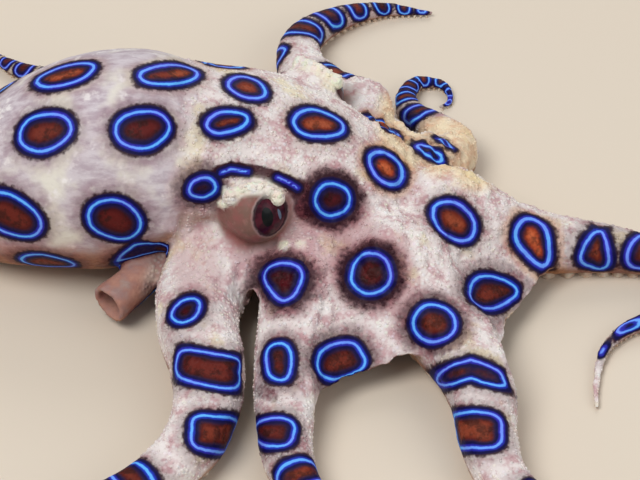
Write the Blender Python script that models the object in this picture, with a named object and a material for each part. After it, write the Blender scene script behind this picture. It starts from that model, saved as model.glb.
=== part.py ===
"""Greater blue ringed octopus (Hapalochlaena lunulata) at rest, as a still, life-size model.

The design frame is in millimetres. The mouth is over X = 0, Y = 0 and the floor is Z = 0. The mantle
lies towards -X, the head faces +X and a little towards -Y, and the eight arms spread over the floor.
Every length is turned to metres as its mesh is made, and the whole is moved by CENTRE_SHIFT, so that
the origin is under the middle of the model's box.
"""
import math
import random

import bmesh
import bpy
import numpy as np
from mathutils import Vector
from mathutils.bvhtree import BVHTree

MM = 0.001
CENTRE_SHIFT = (7.5, 4.1, 0.0)
GAP = 0.3
WELD = 0.0005

MANTLE_FRONT = -16.45
MANTLE_SIDES = 24
# Each mantle station: X, half width, underside, top.
MANTLE_STATIONS = (
    (MANTLE_FRONT, 12.7, 6.4, 25.0),
    (-18.6, 13.2, 4.2, 26.4),
    (-22.0, 13.6, 1.4, 27.4),
    (-26.5, 13.7, -0.25, 27.5),
    (-31.5, 13.2, -0.35, 26.4),
    (-36.5, 12.2, -0.3, 24.1),
    (-41.0, 10.7, -0.1, 21.4),
    (-45.5, 8.4, 1.0, 18.2),
    (-49.5, 5.6, 2.9, 14.9),
    (-52.4, 2.9, 5.0, 11.9),
)
MANTLE_TIP = (-53.8, 0.0, 8.4)

HEAD_YAW = math.radians(-18.0)
HEAD_SIDES = 22
# Each head station: X, Y, how far the head has turned there, half width, underside, top.
HEAD_STATIONS = (
    (MANTLE_FRONT + GAP, 0.0, 0.0, 12.5, 7.0, 24.8),
    (-13.4, 0.1, 0.3, 12.3, 7.6, 24.4),
    (-9.8, 0.2, 0.7, 12.2, 8.0, 23.5),
    (-6.0, 0.0, 1.0, 12.0, 8.0, 22.3),
    (-2.4, -0.6, 1.0, 11.4, 8.0, 20.8),
    (1.2, -1.4, 1.0, 10.4, 8.0, 19.1),
    (4.4, -2.2, 1.0, 8.6, 8.4, 17.2),
    (6.8, -2.8, 1.0, 6.0, 9.0, 15.4),
)
HEAD_NOSE = (8.4, -3.2, 12.4)

CROWN_APOTHEM = 10.7
CROWN_UNDERSIDE = 5.0
CROWN_TOP = 12.7
CROWN_SHOULDER = 15.6
CROWN_PEAK = 17.0
MOUTH_HEIGHT = 6.4
LIP_RADIUS, LIP_THICKNESS = 2.1, 0.75

EYE_MIDDLE = (-5.2, 0.1, 14.3)
EYE_SPAN = 9.6
EYE_MOUND = 5.2
EYE_RADIUS = 3.7
EYE_PROUD = 2.3
# How far each eye's axis leans out to the side, forward and up.
EYE_LEAN = (0.9, 0.3, 0.32)
LID_THICKNESS = 0.6
BROW_BEADS = 7
BROW_REACH = math.radians(68.0)
BROW_BEAD = 1.25
BROW_ARCH = 3.9
BROW_PROUD = 0.9

SIPHON_ROUTE = ((-16.6, -5.6, 6.2), (-19.6, -9.4, 5.2), (-23.0, -12.9, 4.3), (-26.4, -16.4, 3.7))
SIPHON_RADII = (2.2, 2.35, 2.4, 2.75)
SIPHON_WALL = 0.75
SIPHON_SIDES = 12

ARM_START = CROWN_APOTHEM + GAP
# The angle between neighbouring arms at the crown, and the half width that lets them stand side by side.
NEIGHBOUR = math.radians(42.0)
ARM_BASE = (ARM_START * math.sin(NEIGHBOUR / 2) - GAP / 2) / math.cos(NEIGHBOUR / 2)
ARM_FIRST_REACH = 4.0
ARM_SWELL = 7.0
ARM_TIP = 0.42
ARM_HEIGHT_SHARE = 0.86
ARM_RING_STEP = 3.0
# Half of an arm's outline across it, from the sole to the back, in half widths and half heights.
ARM_OUTLINE = ((0.70, -1.0), (0.98, -0.55), (1.0, 0.05), (0.93, 0.62), (0.52, 0.95))
WEB_SIDE_LOW, WEB_SIDE_HIGH = 2, 3
ARM_CUTS = (0.31, 0.62)
LENGTH_NAMES = ("base", "middle", "tip")

# Sizes of the suckers: radius and distance from the arm's middle in half widths of the arm, height
# as a fixed part and a part of the half width, and the steps between them.
SUCKER_SHARE = 0.31
SUCKER_ROW = 0.38
SUCKER_STANDS = (0.12, 0.17)
SUCKER_FIRST, SUCKER_LAST = 2.6, 0.9
SUCKER_PITCH, SUCKER_CLOSEST = 3.3, 1.15
SUCKER_SIDES = {"base": 7, "middle": 6, "tip": 5}
SUCKER_ROOT = 0.45
SUCKER_MARGIN = 1.08

WEB_START = 3.0
WEB_ROWS, WEB_COLUMNS = 7, 6
WEB_EDGE, WEB_MARGIN, WEB_THINNEST = 1.1, 0.65, 0.55
WEB_SEAT = 0.72
WEB_DROOP = 2.3
WEB_BOW = 0.14
WEB_LOWEST = 0.5

random.seed(11)


class ArmPlan:
    """One arm's lie: its azimuth at the crown, its route over the floor, its girth and its rise."""

    def __init__(self, name, azimuth, girth, taper, rise, touch, route):
        self.name, self.girth, self.taper = name, girth, taper
        self.rise, self.touch = rise, touch
        turn = math.radians(azimuth)
        away = np.array([math.cos(turn), math.sin(turn)])
        self.azimuth = turn
        first = [away * ARM_START, away * (ARM_START + ARM_FIRST_REACH)]
        self.line = smooth_line(np.vstack([first, route]))
        steps = np.linalg.norm(np.diff(self.line, axis=0), axis=1)
        self.run = np.concatenate([[0.0], np.cumsum(steps)])
        self.length = self.run[-1]

    def place(self, along):
        """The point over the floor and the heading there, as two plan vectors."""
        point = np.array([np.interp(along, self.run, self.line[:, axis]) for axis in (0, 1)])
        behind, ahead = max(along - 0.4, 0.0), min(along + 0.4, self.length)
        ends = [
            [np.interp(at, self.run, self.line[:, axis]) for axis in (0, 1)]
            for at in (behind, ahead)
        ]
        heading = np.array(ends[1]) - np.array(ends[0])
        return point, heading / np.linalg.norm(heading)

    def half_width(self, along):
        """It swells from the crown to its full girth and then tapers to the tip."""
        if along < ARM_SWELL:
            return ARM_BASE + (self.girth - ARM_BASE) * ease(along / ARM_SWELL)
        left = 1.0 - (along - ARM_SWELL) / (self.length - ARM_SWELL)
        return ARM_TIP + (self.girth - ARM_TIP) * max(left, 0.0) ** self.taper

    def half_height(self, along):
        return ARM_HEIGHT_SHARE * self.half_width(along)

    def stand(self, along):
        """How tall the suckers are there, which is how far the sole stands over the floor."""
        return SUCKER_STANDS[0] + SUCKER_STANDS[1] * self.half_width(along)

    def sole(self, along):
        """Height of the arm's underside: up at the crown, then down to its suckers' height."""
        lifted = self.rise * (1.0 - ease(along / self.touch))
        return self.stand(along) + lifted

    def outline_point(self, along, side, low_high):
        """One point of the arm's outline at a station: side is 1 for the left and -1 for the right."""
        across, up = low_high
        point, heading = self.place(along)
        left = np.array([-heading[1], heading[0]])
        half, tall = self.half_width(along), self.half_height(along)
        plan = point + left * side * across * half
        return np.array([plan[0], plan[1], self.sole(along) + tall * (1.0 + up)])


def ease(value):
    """0 to 1 with a level start and end."""
    held = min(max(value, 0.0), 1.0)
    return held * held * (3.0 - 2.0 * held)


def smooth_line(points, steps=14):
    """A Catmull-Rom curve through the points, as a dense polyline."""
    given = np.array(points, float)
    padded = np.vstack([2 * given[0] - given[1], given, 2 * given[-1] - given[-2]])
    share = np.linspace(0.0, 1.0, steps, endpoint=False)[:, None]
    spans = []
    for before, start, end, after in zip(padded, padded[1:], padded[2:], padded[3:]):
        linear = (end - before) * share
        square = (2 * before - 5 * start + 4 * end - after) * share**2
        cube = (3 * start - before - 3 * end + after) * share**3
        spans.append(0.5 * (2 * start + linear + square + cube))
    return np.vstack([*spans, given[-1:]])


def arm_plans():
    """The eight arms in order round the crown, from the right hind arm through the front."""
    return (
        ArmPlan("r4", -139, 5.7, 0.8, 3.2, 13, (
            (-14.6, -15.6), (-15.0, -21.5), (-13.7, -28.0), (-13.6, -34.0), (-15.6, -41.0),
            (-21.0, -46.8), (-28.6, -49.8), (-36.6, -49.2), (-43.0, -45.0))),
        ArmPlan("r3", -97, 4.9, 0.75, 4.4, 16, (
            (-2.9, -21.0), (-3.9, -28.0), (-4.2, -35.5), (-3.6, -43.0), (-0.4, -49.6),
            (5.2, -54.0), (12.5, -55.2))),
        ArmPlan("r2", -55, 5.6, 0.8, 4.8, 17, (
            (13.0, -18.6), (17.2, -25.4), (19.6, -32.5), (20.0, -39.5), (22.0, -46.2),
            (27.4, -50.8), (34.6, -52.0), (41.0, -48.8))),
        ArmPlan("r1", -13, 5.1, 1.5, 5.0, 20, (
            (20.0, -4.3), (26.0, -4.9), (32.0, -5.0), (38.0, -5.3), (43.6, -6.4), (46.8, -9.4),
            (46.2, -13.4), (42.6, -15.8), (38.4, -17.8), (35.4, -21.0), (34.0, -25.8),
            (33.6, -31.4))),
        ArmPlan("l1", 29, 3.9, 1.35, 3.4, 13, (
            (16.2, 10.4), (17.6, 14.6), (15.2, 18.8), (12.4, 22.6), (11.6, 26.8), (13.2, 30.4),
            (16.6, 30.4), (17.7, 27.4), (16.0, 25.8))),
        ArmPlan("l2", 71, 4.8, 1.0, 4.8, 16, (
            (3.8, 19.3), (0.4, 24.8), (-2.6, 31.0), (-2.4, 37.6), (1.8, 43.0), (8.4, 46.4),
            (15.8, 46.4))),
        ArmPlan("l3", 113, 4.8, 1.0, 4.4, 16, (
            (-9.3, 19.0), (-14.2, 24.2), (-20.2, 27.8), (-27.2, 28.8), (-34.6, 29.8),
            (-41.4, 33.4), (-46.6, 39.0))),
        ArmPlan("l4", 155, 4.6, 0.95, 3.2, 13, (
            (-18.0, 9.8), (-23.0, 15.0), (-29.8, 18.4), (-37.6, 19.2), (-45.4, 20.4),
            (-52.6, 23.6), (-58.8, 28.6), (-63.4, 35.0))),
    )


# How far each web reaches along the arm before it and along the arm after it.
WEBS = {
    ("r4", "r3"): (12.5, 9.0),
    ("r3", "r2"): (24.0, 20.0),
    ("r2", "r1"): (25.0, 22.0),
    ("r1", "l1"): (14.5, 9.5),
    ("l1", "l2"): (10.0, 7.0),
    ("l2", "l3"): (16.0, 12.0),
    ("l3", "l4"): (16.0, 14.0),
}


def add_object(name, bm):
    """A scene object from a bmesh in millimetres, moved to the model's frame."""
    shift = Vector(CENTRE_SHIFT)
    for vertex in bm.verts:
        vertex.co = (vertex.co + shift) * MM
    bmesh.ops.triangulate(bm, faces=[face for face in bm.faces if len(face.verts) > 4])
    mesh = bpy.data.meshes.new(name)
    bm.to_mesh(mesh)
    bm.free()
    thing = bpy.data.objects.new(name, mesh)
    bpy.context.scene.collection.objects.link(thing)
    return thing


def loft(rings, closed_start=True, closed_end=True):
    """A closed tube through rings of points with the same count, its faces pointing out."""
    bm = bmesh.new()
    loops = [[bm.verts.new(Vector(point)) for point in ring] for ring in rings]
    for near, far in zip(loops, loops[1:]):
        count = len(near)
        for k in range(count):
            bm.faces.new((near[k], near[(k + 1) % count], far[(k + 1) % count], far[k]))
    if closed_start:
        bm.faces.new(reversed(loops[0]))
    if closed_end:
        bm.faces.new(loops[-1])
    return finished(bm)


def finished(bm):
    """Welds what meets, turns every face outwards and gives the bmesh back."""
    bmesh.ops.remove_doubles(bm, verts=bm.verts, dist=WELD)
    bmesh.ops.recalc_face_normals(bm, faces=bm.faces)
    if bm.calc_volume(signed=True) < 0:
        bmesh.ops.reverse_faces(bm, faces=bm.faces)
    return bm


def ball(centre, radius, rings=8, sides=12, axis=(0, 0, 1), squash=1.0):
    """A ball of latitude rings round an axis, flattened along it by squash."""
    bm = bmesh.new()
    bmesh.ops.create_uvsphere(bm, u_segments=sides, v_segments=rings, radius=radius)
    turn = Vector((0, 0, 1)).rotation_difference(Vector(axis))
    for vertex in bm.verts:
        flat = Vector((vertex.co.x, vertex.co.y, vertex.co.z * squash))
        vertex.co = turn @ flat + Vector(centre)
    return bm


def hoop(centre, axis, radius, thickness, turns, sides):
    """A ring of round section about an axis."""
    turn = Vector((0, 0, 1)).rotation_difference(Vector(axis))
    bm = bmesh.new()
    loops = []
    for k in range(turns):
        round_angle = math.tau * k / turns
        out = Vector((math.cos(round_angle), math.sin(round_angle), 0))
        loop = []
        for j in range(sides):
            section = math.tau * j / sides
            point = out * (radius + thickness * math.cos(section))
            point += Vector((0, 0, thickness * math.sin(section)))
            loop.append(bm.verts.new(turn @ point + Vector(centre)))
        loops.append(loop)
    for k in range(turns):
        near, far = loops[k], loops[(k + 1) % turns]
        for j in range(sides):
            ahead = (j + 1) % sides
            bm.faces.new((near[j], near[ahead], far[ahead], far[j]))
    return finished(bm)


def applied(thing):
    """Replaces an object's mesh by the one its modifiers give."""
    graph = bpy.context.evaluated_depsgraph_get()
    mesh = bpy.data.meshes.new_from_object(thing.evaluated_get(graph))
    thing.modifiers.clear()
    thing.data = mesh


def combine(thing, others, operation):
    """One Boolean between an object and a collection of closed objects, which it then removes."""
    group = bpy.data.collections.new("joined_pieces")
    bpy.context.scene.collection.children.link(group)
    for other in others:
        group.objects.link(other)
    step = thing.modifiers.new("joined", "BOOLEAN")
    step.operand_type = "COLLECTION"
    step.collection = group
    step.operation = operation
    step.solver = "EXACT"
    applied(thing)
    for other in others:
        bpy.data.objects.remove(other)
    bpy.data.collections.remove(group)
    keep_largest(thing)


def keep_largest(thing):
    """Welds an object's mesh and keeps only its largest closed surface."""
    bm = bmesh.new()
    bm.from_mesh(thing.data)
    bmesh.ops.triangulate(bm, faces=bm.faces)
    bmesh.ops.remove_doubles(bm, verts=bm.verts, dist=WELD * MM)
    bmesh.ops.dissolve_degenerate(bm, edges=bm.edges, dist=WELD * MM)
    bmesh.ops.triangulate(bm, faces=bm.faces)
    bm.faces.ensure_lookup_table()
    unseen = set(bm.faces)
    shells = []
    while unseen:
        first = unseen.pop()
        shell, queue = {first}, [first]
        while queue:
            face = queue.pop()
            for edge in face.edges:
                for beside in edge.link_faces:
                    if beside in unseen:
                        unseen.remove(beside)
                        shell.add(beside)
                        queue.append(beside)
        shells.append(shell)
    largest = max(shells, key=lambda shell: sum(face.calc_area() for face in shell))
    loose = [face for face in bm.faces if face not in largest]
    bmesh.ops.delete(bm, geom=loose, context="FACES")
    bm.to_mesh(thing.data)
    bm.free()


def touches(first, second):
    """True where two objects' surfaces cross."""
    trees = []
    for thing in (first, second):
        bm = bmesh.new()
        bm.from_mesh(thing.data)
        trees.append(BVHTree.FromBMesh(bm))
        bm.free()
    return bool(trees[0].overlap(trees[1]))


def trim(thing, make_cutter):
    """Cuts an object clear of a grown neighbour, where the two cross."""
    cutter = make_cutter()
    if touches(thing, cutter):
        combine(thing, [cutter], "DIFFERENCE")
    else:
        bpy.data.objects.remove(cutter)


def body_section(middle, turn, half_width, underside, top, sides, grow=0.0):
    """An oval outline across the body, upright and turned about Z, grown all round."""
    centre = (underside + top) / 2
    half_height = (top - underside) / 2 + grow
    left = np.array([-math.sin(turn), math.cos(turn)])
    ring = []
    for k in range(sides):
        angle = math.tau * k / sides
        out = (half_width + grow) * math.cos(angle)
        up = centre + half_height * math.sin(angle)
        plan = np.array(middle) + left * out
        ring.append((plan[0], plan[1], max(up, 0.0)))
    return ring


def mantle_solid(name, grow=0.0):
    """The mantle: an egg that lies on a small flat and ends in a blunt point."""
    rings = []
    for x, half_width, underside, top in MANTLE_STATIONS:
        forward = grow if x == MANTLE_FRONT else 0.0
        middle = (x + forward, 0.0)
        rings.append(body_section(middle, 0.0, half_width, underside, top, MANTLE_SIDES, grow))
    x, y, z = MANTLE_TIP
    tip = [(x - grow, y, z)] * MANTLE_SIDES
    return add_object(name, loft([*rings, tip], closed_end=False))


def head_core(name, grow=0.0):
    """The head from the neck to the nose, turned a little towards -Y on the way."""
    rings = []
    for x, y, turned, half_width, underside, top in HEAD_STATIONS:
        turn = HEAD_YAW * turned
        rings.append(body_section((x, y), turn, half_width, underside, top, HEAD_SIDES, grow))
    x, y, z = HEAD_NOSE
    nose = [(x + grow, y, z)] * HEAD_SIDES
    return add_object(name, loft([*rings, nose], closed_end=False))


def crown_solid(name, plans):
    """The crown that the arms grow from: a low prism with one flat side behind each arm."""
    sides = [plan.azimuth for plan in plans]
    behind = (plans[0].azimuth + plans[-1].azimuth + math.tau) / 2
    sides.append(behind)
    corners = []
    for k, first in enumerate(sides):
        second = sides[(k + 1) % len(sides)]
        wedge = (second - first) % math.tau
        reach = CROWN_APOTHEM / math.cos(wedge / 2)
        angle = first + wedge / 2
        corners.append((reach * math.cos(angle), reach * math.sin(angle)))
    rings = []
    for share, height in ((0.0, MOUTH_HEIGHT), (0.2, MOUTH_HEIGHT - 0.2), (1.0, CROWN_UNDERSIDE),
                          (1.0, CROWN_TOP), (0.66, CROWN_SHOULDER), (0.0, CROWN_PEAK)):
        rings.append([(x * share, y * share, height) for x, y in corners])
    return add_object(name, loft(rings, closed_start=False, closed_end=False))


def eye_frame(side):
    """Centre of the eye's mound, the eye's own centre and its outward axis; side -1 is the right."""
    forward = Vector((math.cos(HEAD_YAW), math.sin(HEAD_YAW), 0))
    left = Vector((-forward.y, forward.x, 0))
    out, ahead, up = EYE_LEAN
    axis = (left * side * out + forward * ahead + Vector((0, 0, up))).normalized()
    mound = Vector(EYE_MIDDLE) + left * side * EYE_SPAN
    return mound, mound + axis * EYE_PROUD, axis


def eye_mound(name, side, grow=0.0):
    mound, _, axis = eye_frame(side)
    return add_object(name, ball(mound, EYE_MOUND + grow, 8, 14, axis))


def lid_solid(name, side, grow=0.0):
    """The lid: a soft hoop where the eye leaves its mound."""
    mound, _, axis = eye_frame(side)
    along = (EYE_PROUD**2 + EYE_MOUND**2 - EYE_RADIUS**2) / (2 * EYE_PROUD)
    radius = math.sqrt(EYE_MOUND**2 - along**2)
    centre = mound + axis * along
    return add_object(name, hoop(centre, axis, radius + 0.1, LID_THICKNESS + grow, 14, 6))


def brow_solids(side):
    """Rounded beads in an arch over the eye, largest at the ends of the arch."""
    mound, _, axis = eye_frame(side)
    upward = (Vector((0, 0, 1)) - axis * axis.z).normalized()
    beside = axis.cross(upward)
    along = math.sqrt(EYE_MOUND**2 - BROW_ARCH**2) + BROW_PROUD
    beads = []
    for k in range(BROW_BEADS):
        share = 2.0 * k / (BROW_BEADS - 1) - 1.0
        angle = BROW_REACH * share
        away = upward * math.cos(angle) + beside * math.sin(angle)
        size = BROW_BEAD * (0.82 + 0.26 * share * share + random.uniform(-0.06, 0.06))
        centre = mound + axis * along + away * BROW_ARCH
        beads.append(add_object("brow_bead", ball(centre, size, 5, 6, away)))
    return beads


def head_clearance(name):
    """The head's core, mounds and lids grown by the gap, for cutting what lies against them."""
    core = head_core(name, GAP)
    grown = [eye_mound("grown_mound", side, GAP) for side in (-1, 1)]
    grown += [lid_solid("grown_lid", side, GAP) for side in (-1, 1)]
    combine(core, grown, "UNION")
    return core


def head_solid(plans):
    """The whole head node: core, crown, mounds, brows, lids and lips, with its sockets cut."""
    head = head_core("head")
    pieces = [crown_solid("crown", plans)]
    pieces.append(add_object("lips", hoop((0, 0, MOUTH_HEIGHT - 0.35), (0, 0, 1), LIP_RADIUS,
                                          LIP_THICKNESS, 12, 6)))
    for side in (-1, 1):
        pieces.append(eye_mound("mound", side))
        pieces.append(lid_solid("lid", side))
        pieces.extend(brow_solids(side))
    combine(head, pieces, "UNION")
    sockets = [eye_solid("socket", side, GAP) for side in (-1, 1)]
    combine(head, sockets, "DIFFERENCE")
    return head


def eye_solid(name, side, grow=0.0):
    _, eye, axis = eye_frame(side)
    return add_object(name, ball(eye, EYE_RADIUS + grow, 10, 14, axis))


def siphon_solid(name, grow=0.0):
    """The funnel: a short tube, open at its mouth, that comes from under the neck."""
    line = np.array(SIPHON_ROUTE, float)
    rings = [ring_about(line, k, SIPHON_RADII[k] + grow) for k in range(len(line))]
    if grow:
        return add_object(name, loft(rings))
    inner = [ring_about(line, k, SIPHON_RADII[k] - SIPHON_WALL) for k in (3, 2, 1)]
    return add_object(name, loft([*rings, *inner]))


def ring_about(line, k, radius):
    """A round ring of points about the k-th point of a line, square to it."""
    behind, ahead = line[max(k - 1, 0)], line[min(k + 1, len(line) - 1)]
    heading = Vector(ahead - behind).normalized()
    side = heading.cross(Vector((0, 0, 1))).normalized()
    up = side.cross(heading)
    ring = []
    for j in range(SIPHON_SIDES):
        angle = math.tau * j / SIPHON_SIDES
        ring.append(Vector(line[k]) + radius * (side * math.cos(angle) + up * math.sin(angle)))
    return ring


def arm_ring(plan, along):
    """The arm's closed outline at one station, left side up and over to the right side."""
    left = [plan.outline_point(along, 1, pair) for pair in ARM_OUTLINE]
    right = [plan.outline_point(along, -1, pair) for pair in reversed(ARM_OUTLINE)]
    return left + right


def arm_length(plan, name, start, end):
    """One length of an arm as a loft between two stations."""
    count = max(2, round((end - start) / ARM_RING_STEP)) + 1
    stations = np.linspace(start, end, count)
    return add_object(name, loft([arm_ring(plan, along) for along in stations]))


def sucker(plan, along, side, sides):
    """A sucker: a short cup with a level rim, its root sunk in the arm's sole."""
    half = plan.half_width(along)
    radius = SUCKER_SHARE * half * random.uniform(0.93, 1.05)
    point, heading = plan.place(along)
    left = np.array([-heading[1], heading[0]])
    plan_point = point + left * side * SUCKER_ROW * half
    slope = plan.sole(along + 0.5) - plan.sole(along - 0.5)
    tall = plan.stand(along)
    down = Vector((heading[0] * slope, heading[1] * slope, -1)).normalized()
    rim = Vector((plan_point[0], plan_point[1], plan.sole(along))) + down * tall
    if rim.z < radius * abs(slope):
        down = Vector((0, 0, -1))
        rim = Vector((plan_point[0], plan_point[1], 0.0))
    ahead = Vector((heading[0], heading[1], 0))
    ahead = (ahead - down * ahead.dot(down)).normalized()
    across = down.cross(ahead)
    root = tall + SUCKER_ROOT * plan.half_height(along)
    rings = []
    for share, up in ((0.8, root), (1.0, 0.0), (0.66, 0.0), (0.0, 0.5 * tall)):
        ring = []
        for k in range(sides):
            angle = math.tau * k / sides
            out = ahead * math.cos(angle) + across * math.sin(angle)
            ring.append(rim + out * radius * share - down * up)
        rings.append(ring)
    return add_object("sucker", loft(rings, closed_end=False))


def sucker_places(plan):
    """Stations of the suckers, closer together where the arm is thin, left and right in turn."""
    places = []
    along, side = SUCKER_FIRST, 1
    while along < plan.length - SUCKER_LAST:
        places.append((along, side))
        size = SUCKER_SHARE * plan.half_width(along)
        along += max(SUCKER_PITCH * (0.32 + 0.48 * size), SUCKER_CLOSEST)
        side = -side
    return places


def web_edge(plan, side, along):
    """The middle of the web's edge beside an arm's flank, clear of it by the gap."""
    low = plan.outline_point(along, side, ARM_OUTLINE[WEB_SIDE_LOW])
    high = plan.outline_point(along, side, ARM_OUTLINE[WEB_SIDE_HIGH])
    _, heading = plan.place(along)
    out = np.array([-heading[1] * side, heading[0] * side, 0.0])
    seat = (low + high) / 2
    seat[2] = low[2] + WEB_SEAT * (high[2] - low[2])
    return seat + out * GAP


def web_solid(first, second, reaches):
    """The web between two arms: a thin sheet that droops between them to a hollow margin."""
    tops, bottoms = [], []
    depth = (reaches[0] + reaches[1]) / 2 - WEB_START
    for row in range(WEB_ROWS + 1):
        down_share = row / WEB_ROWS
        near = web_edge(first, 1, WEB_START + (reaches[0] - WEB_START) * down_share)
        far = web_edge(second, -1, WEB_START + (reaches[1] - WEB_START) * down_share)
        inward = np.array([near[1] - far[1], far[0] - near[0], 0.0])
        inward /= np.linalg.norm(inward) * math.copysign(1.0, -inward @ (near + far))
        width = np.linalg.norm(far - near)
        thick = max(WEB_EDGE + (WEB_MARGIN - WEB_EDGE) * down_share, WEB_THINNEST)
        droop = WEB_DROOP * down_share**1.5 * min(width / 12.0, 1.0)
        top_row, bottom_row = [], []
        for column in range(WEB_COLUMNS + 1):
            share = column / WEB_COLUMNS
            bow = 4.0 * share * (1.0 - share)
            middle = near * (1.0 - share) + far * share
            middle = middle + inward * bow * WEB_BOW * min(width, depth) * down_share**2
            middle[2] = max(middle[2] - bow * droop, WEB_LOWEST + thick / 2)
            top_row.append(middle + np.array([0, 0, thick / 2]))
            bottom_row.append(middle - np.array([0, 0, thick / 2]))
        tops.append(top_row)
        bottoms.append(bottom_row)
    return add_object(f"web_{first.name}_{second.name}", sheet(tops, bottoms))


def sheet(tops, bottoms):
    """A closed slab between two grids of points, both split into triangles alike."""
    bm = bmesh.new()
    upper = [[bm.verts.new(Vector(point)) for point in row] for row in tops]
    lower = [[bm.verts.new(Vector(point)) for point in row] for row in bottoms]
    rows, columns = len(upper), len(upper[0])
    for i in range(rows - 1):
        for j in range(columns - 1):
            for grid, flip in ((upper, False), (lower, True)):
                a, b = grid[i][j], grid[i][j + 1]
                c, d = grid[i + 1][j + 1], grid[i + 1][j]
                for corners in ((a, b, c), (a, c, d)):
                    bm.faces.new(reversed(corners) if flip else corners)
    border = [(0, j) for j in range(columns)]
    border += [(i, columns - 1) for i in range(1, rows)]
    border += [(rows - 1, j) for j in range(columns - 2, -1, -1)]
    border += [(i, 0) for i in range(rows - 2, 0, -1)]
    for (i, j), (k, m) in zip(border, border[1:] + border[:1]):
        bm.faces.new((upper[i][j], lower[i][j], lower[k][m], upper[k][m]))
    return finished(bm)


SKIN_COLOURS = {
    "mantle": (0.66, 0.55, 0.56),
    "head": (0.74, 0.66, 0.62),
    "eye": (0.30, 0.17, 0.15),
    "siphon": (0.50, 0.33, 0.24),
    "web": (0.62, 0.42, 0.28),
    "arm": (0.72, 0.60, 0.50),
}


def finish(thing):
    """Gives an object its colour, by the first word of its name, and shades it smooth."""
    kind = thing.name.split("_")[0]
    material = bpy.data.materials.new(thing.name + "_skin")
    material.use_nodes = True
    surface = material.node_tree.nodes["Principled BSDF"]
    surface.inputs["Base Color"].default_value = (*SKIN_COLOURS[kind], 1.0)
    surface.inputs["Roughness"].default_value = 0.12 if kind == "eye" else 0.5
    surface.inputs["Metallic"].default_value = 0.0
    thing.data.materials.clear()
    thing.data.materials.append(material)
    thing.data.shade_smooth()
    thing.data.set_sharp_from_angle(angle=math.radians(40))


def build_body(plans):
    """Mantle, head, eyes and siphon, each clear of the next by the gap."""
    siphon = siphon_solid("siphon")
    mantle = mantle_solid("mantle")
    head = head_solid(plans)
    for thing in (mantle, head):
        trim(thing, lambda: siphon_solid("grown_siphon", GAP))
    eyes = [eye_solid("eye_right", -1), eye_solid("eye_left", 1)]
    return [mantle, head, siphon, *eyes]


def clear_of_body(thing):
    """Trims an arm or web where the head, mantle or siphon lies over it."""
    trim(thing, lambda: head_clearance("grown_head"))
    trim(thing, lambda: mantle_solid("grown_mantle", GAP))
    trim(thing, lambda: siphon_solid("grown_siphon", GAP))


def build_arm(plan):
    """The three lengths of one arm, each with its suckers joined on."""
    cuts = [0.0, *(share * plan.length for share in ARM_CUTS), plan.length]
    lengths = []
    for k, part in enumerate(LENGTH_NAMES):
        start = cuts[k] + (GAP / 2 if k else 0.0)
        end = cuts[k + 1] - (GAP / 2 if k < len(LENGTH_NAMES) - 1 else 0.0)
        node = arm_length(plan, f"arm_{plan.name}_{part}", start, end)
        if part == "base":
            clear_of_body(node)
        cups = []
        for along, side in sucker_places(plan):
            margin = SUCKER_SHARE * plan.half_width(along) * SUCKER_MARGIN + 0.1
            if start + margin < along < end - margin * (0.4 if part == "tip" else 1.0):
                cups.append(sucker(plan, along, side, SUCKER_SIDES[part]))
        combine(node, cups, "UNION")
        lengths.append(node)
    return lengths


def build_webs(plans):
    """The webs between neighbouring arms."""
    by_name = {plan.name: plan for plan in plans}
    webs = []
    for (first, second), reaches in WEBS.items():
        web = web_solid(by_name[first], by_name[second], reaches)
        clear_of_body(web)
        webs.append(web)
    return webs


def main():
    for thing in list(bpy.data.objects):
        bpy.data.objects.remove(thing)
    plans = arm_plans()
    nodes = build_body(plans)
    for plan in plans:
        nodes.extend(build_arm(plan))
    nodes.extend(build_webs(plans))
    for node in nodes:
        finish(node)


main()
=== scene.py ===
"""Blue ringed octopus at rest: one living skin, its granules, suckers, eyes and beak, over the CAD frame.

All lengths here are in millimetres in the design frame of the CAD source, where the mouth is over the
middle and the floor is Z = 0. SHIFT moves them to the model's frame as each mesh is made in metres.
"""
import math

import bpy
import numpy as np
from bpy.props import FloatProperty, FloatVectorProperty, IntProperty, PointerProperty
from bpy.types import Operator, Panel, PropertyGroup
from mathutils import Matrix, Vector


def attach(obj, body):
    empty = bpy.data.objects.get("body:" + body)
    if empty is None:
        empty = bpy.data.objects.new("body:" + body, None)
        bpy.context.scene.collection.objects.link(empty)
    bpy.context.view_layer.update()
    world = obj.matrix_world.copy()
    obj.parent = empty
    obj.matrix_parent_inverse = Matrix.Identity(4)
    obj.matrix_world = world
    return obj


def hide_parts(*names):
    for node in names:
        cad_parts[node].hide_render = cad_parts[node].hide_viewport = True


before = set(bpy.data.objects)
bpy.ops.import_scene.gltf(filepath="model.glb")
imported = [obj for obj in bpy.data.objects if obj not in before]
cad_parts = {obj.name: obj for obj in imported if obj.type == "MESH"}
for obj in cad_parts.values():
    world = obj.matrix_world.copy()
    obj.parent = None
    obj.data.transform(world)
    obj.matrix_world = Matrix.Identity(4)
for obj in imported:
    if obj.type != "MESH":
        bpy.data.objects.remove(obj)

bl_info = {
    "name": "Blue ringed octopus",
    "version": (1, 0, 0),
    "blender": (4, 5, 0),
    "location": "3D View > Sidebar > Octopus",
    "description": "Skin, rings, suckers, eyes and stage of a life-size blue ringed octopus",
    "category": "Object",
}

MM = 0.001
SHIFT = np.array([7.5, 4.1, 0.0])
UP = np.array([0.0, 0.0, 1.0])

# The camera of the picture: it looks along +Y and down.
VIEW_TARGET = np.array([0.0, -9.0, 8.0])
VIEW_ELEVATION = math.radians(42.0)
VIEW_AWAY = 400.0
VIEW_LENS, VIEW_SENSOR = 180.0, 36.0
PICTURE_WIDE, PICTURE_HIGH = 640, 480
PIXELS_PER_MM = 8.0
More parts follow.
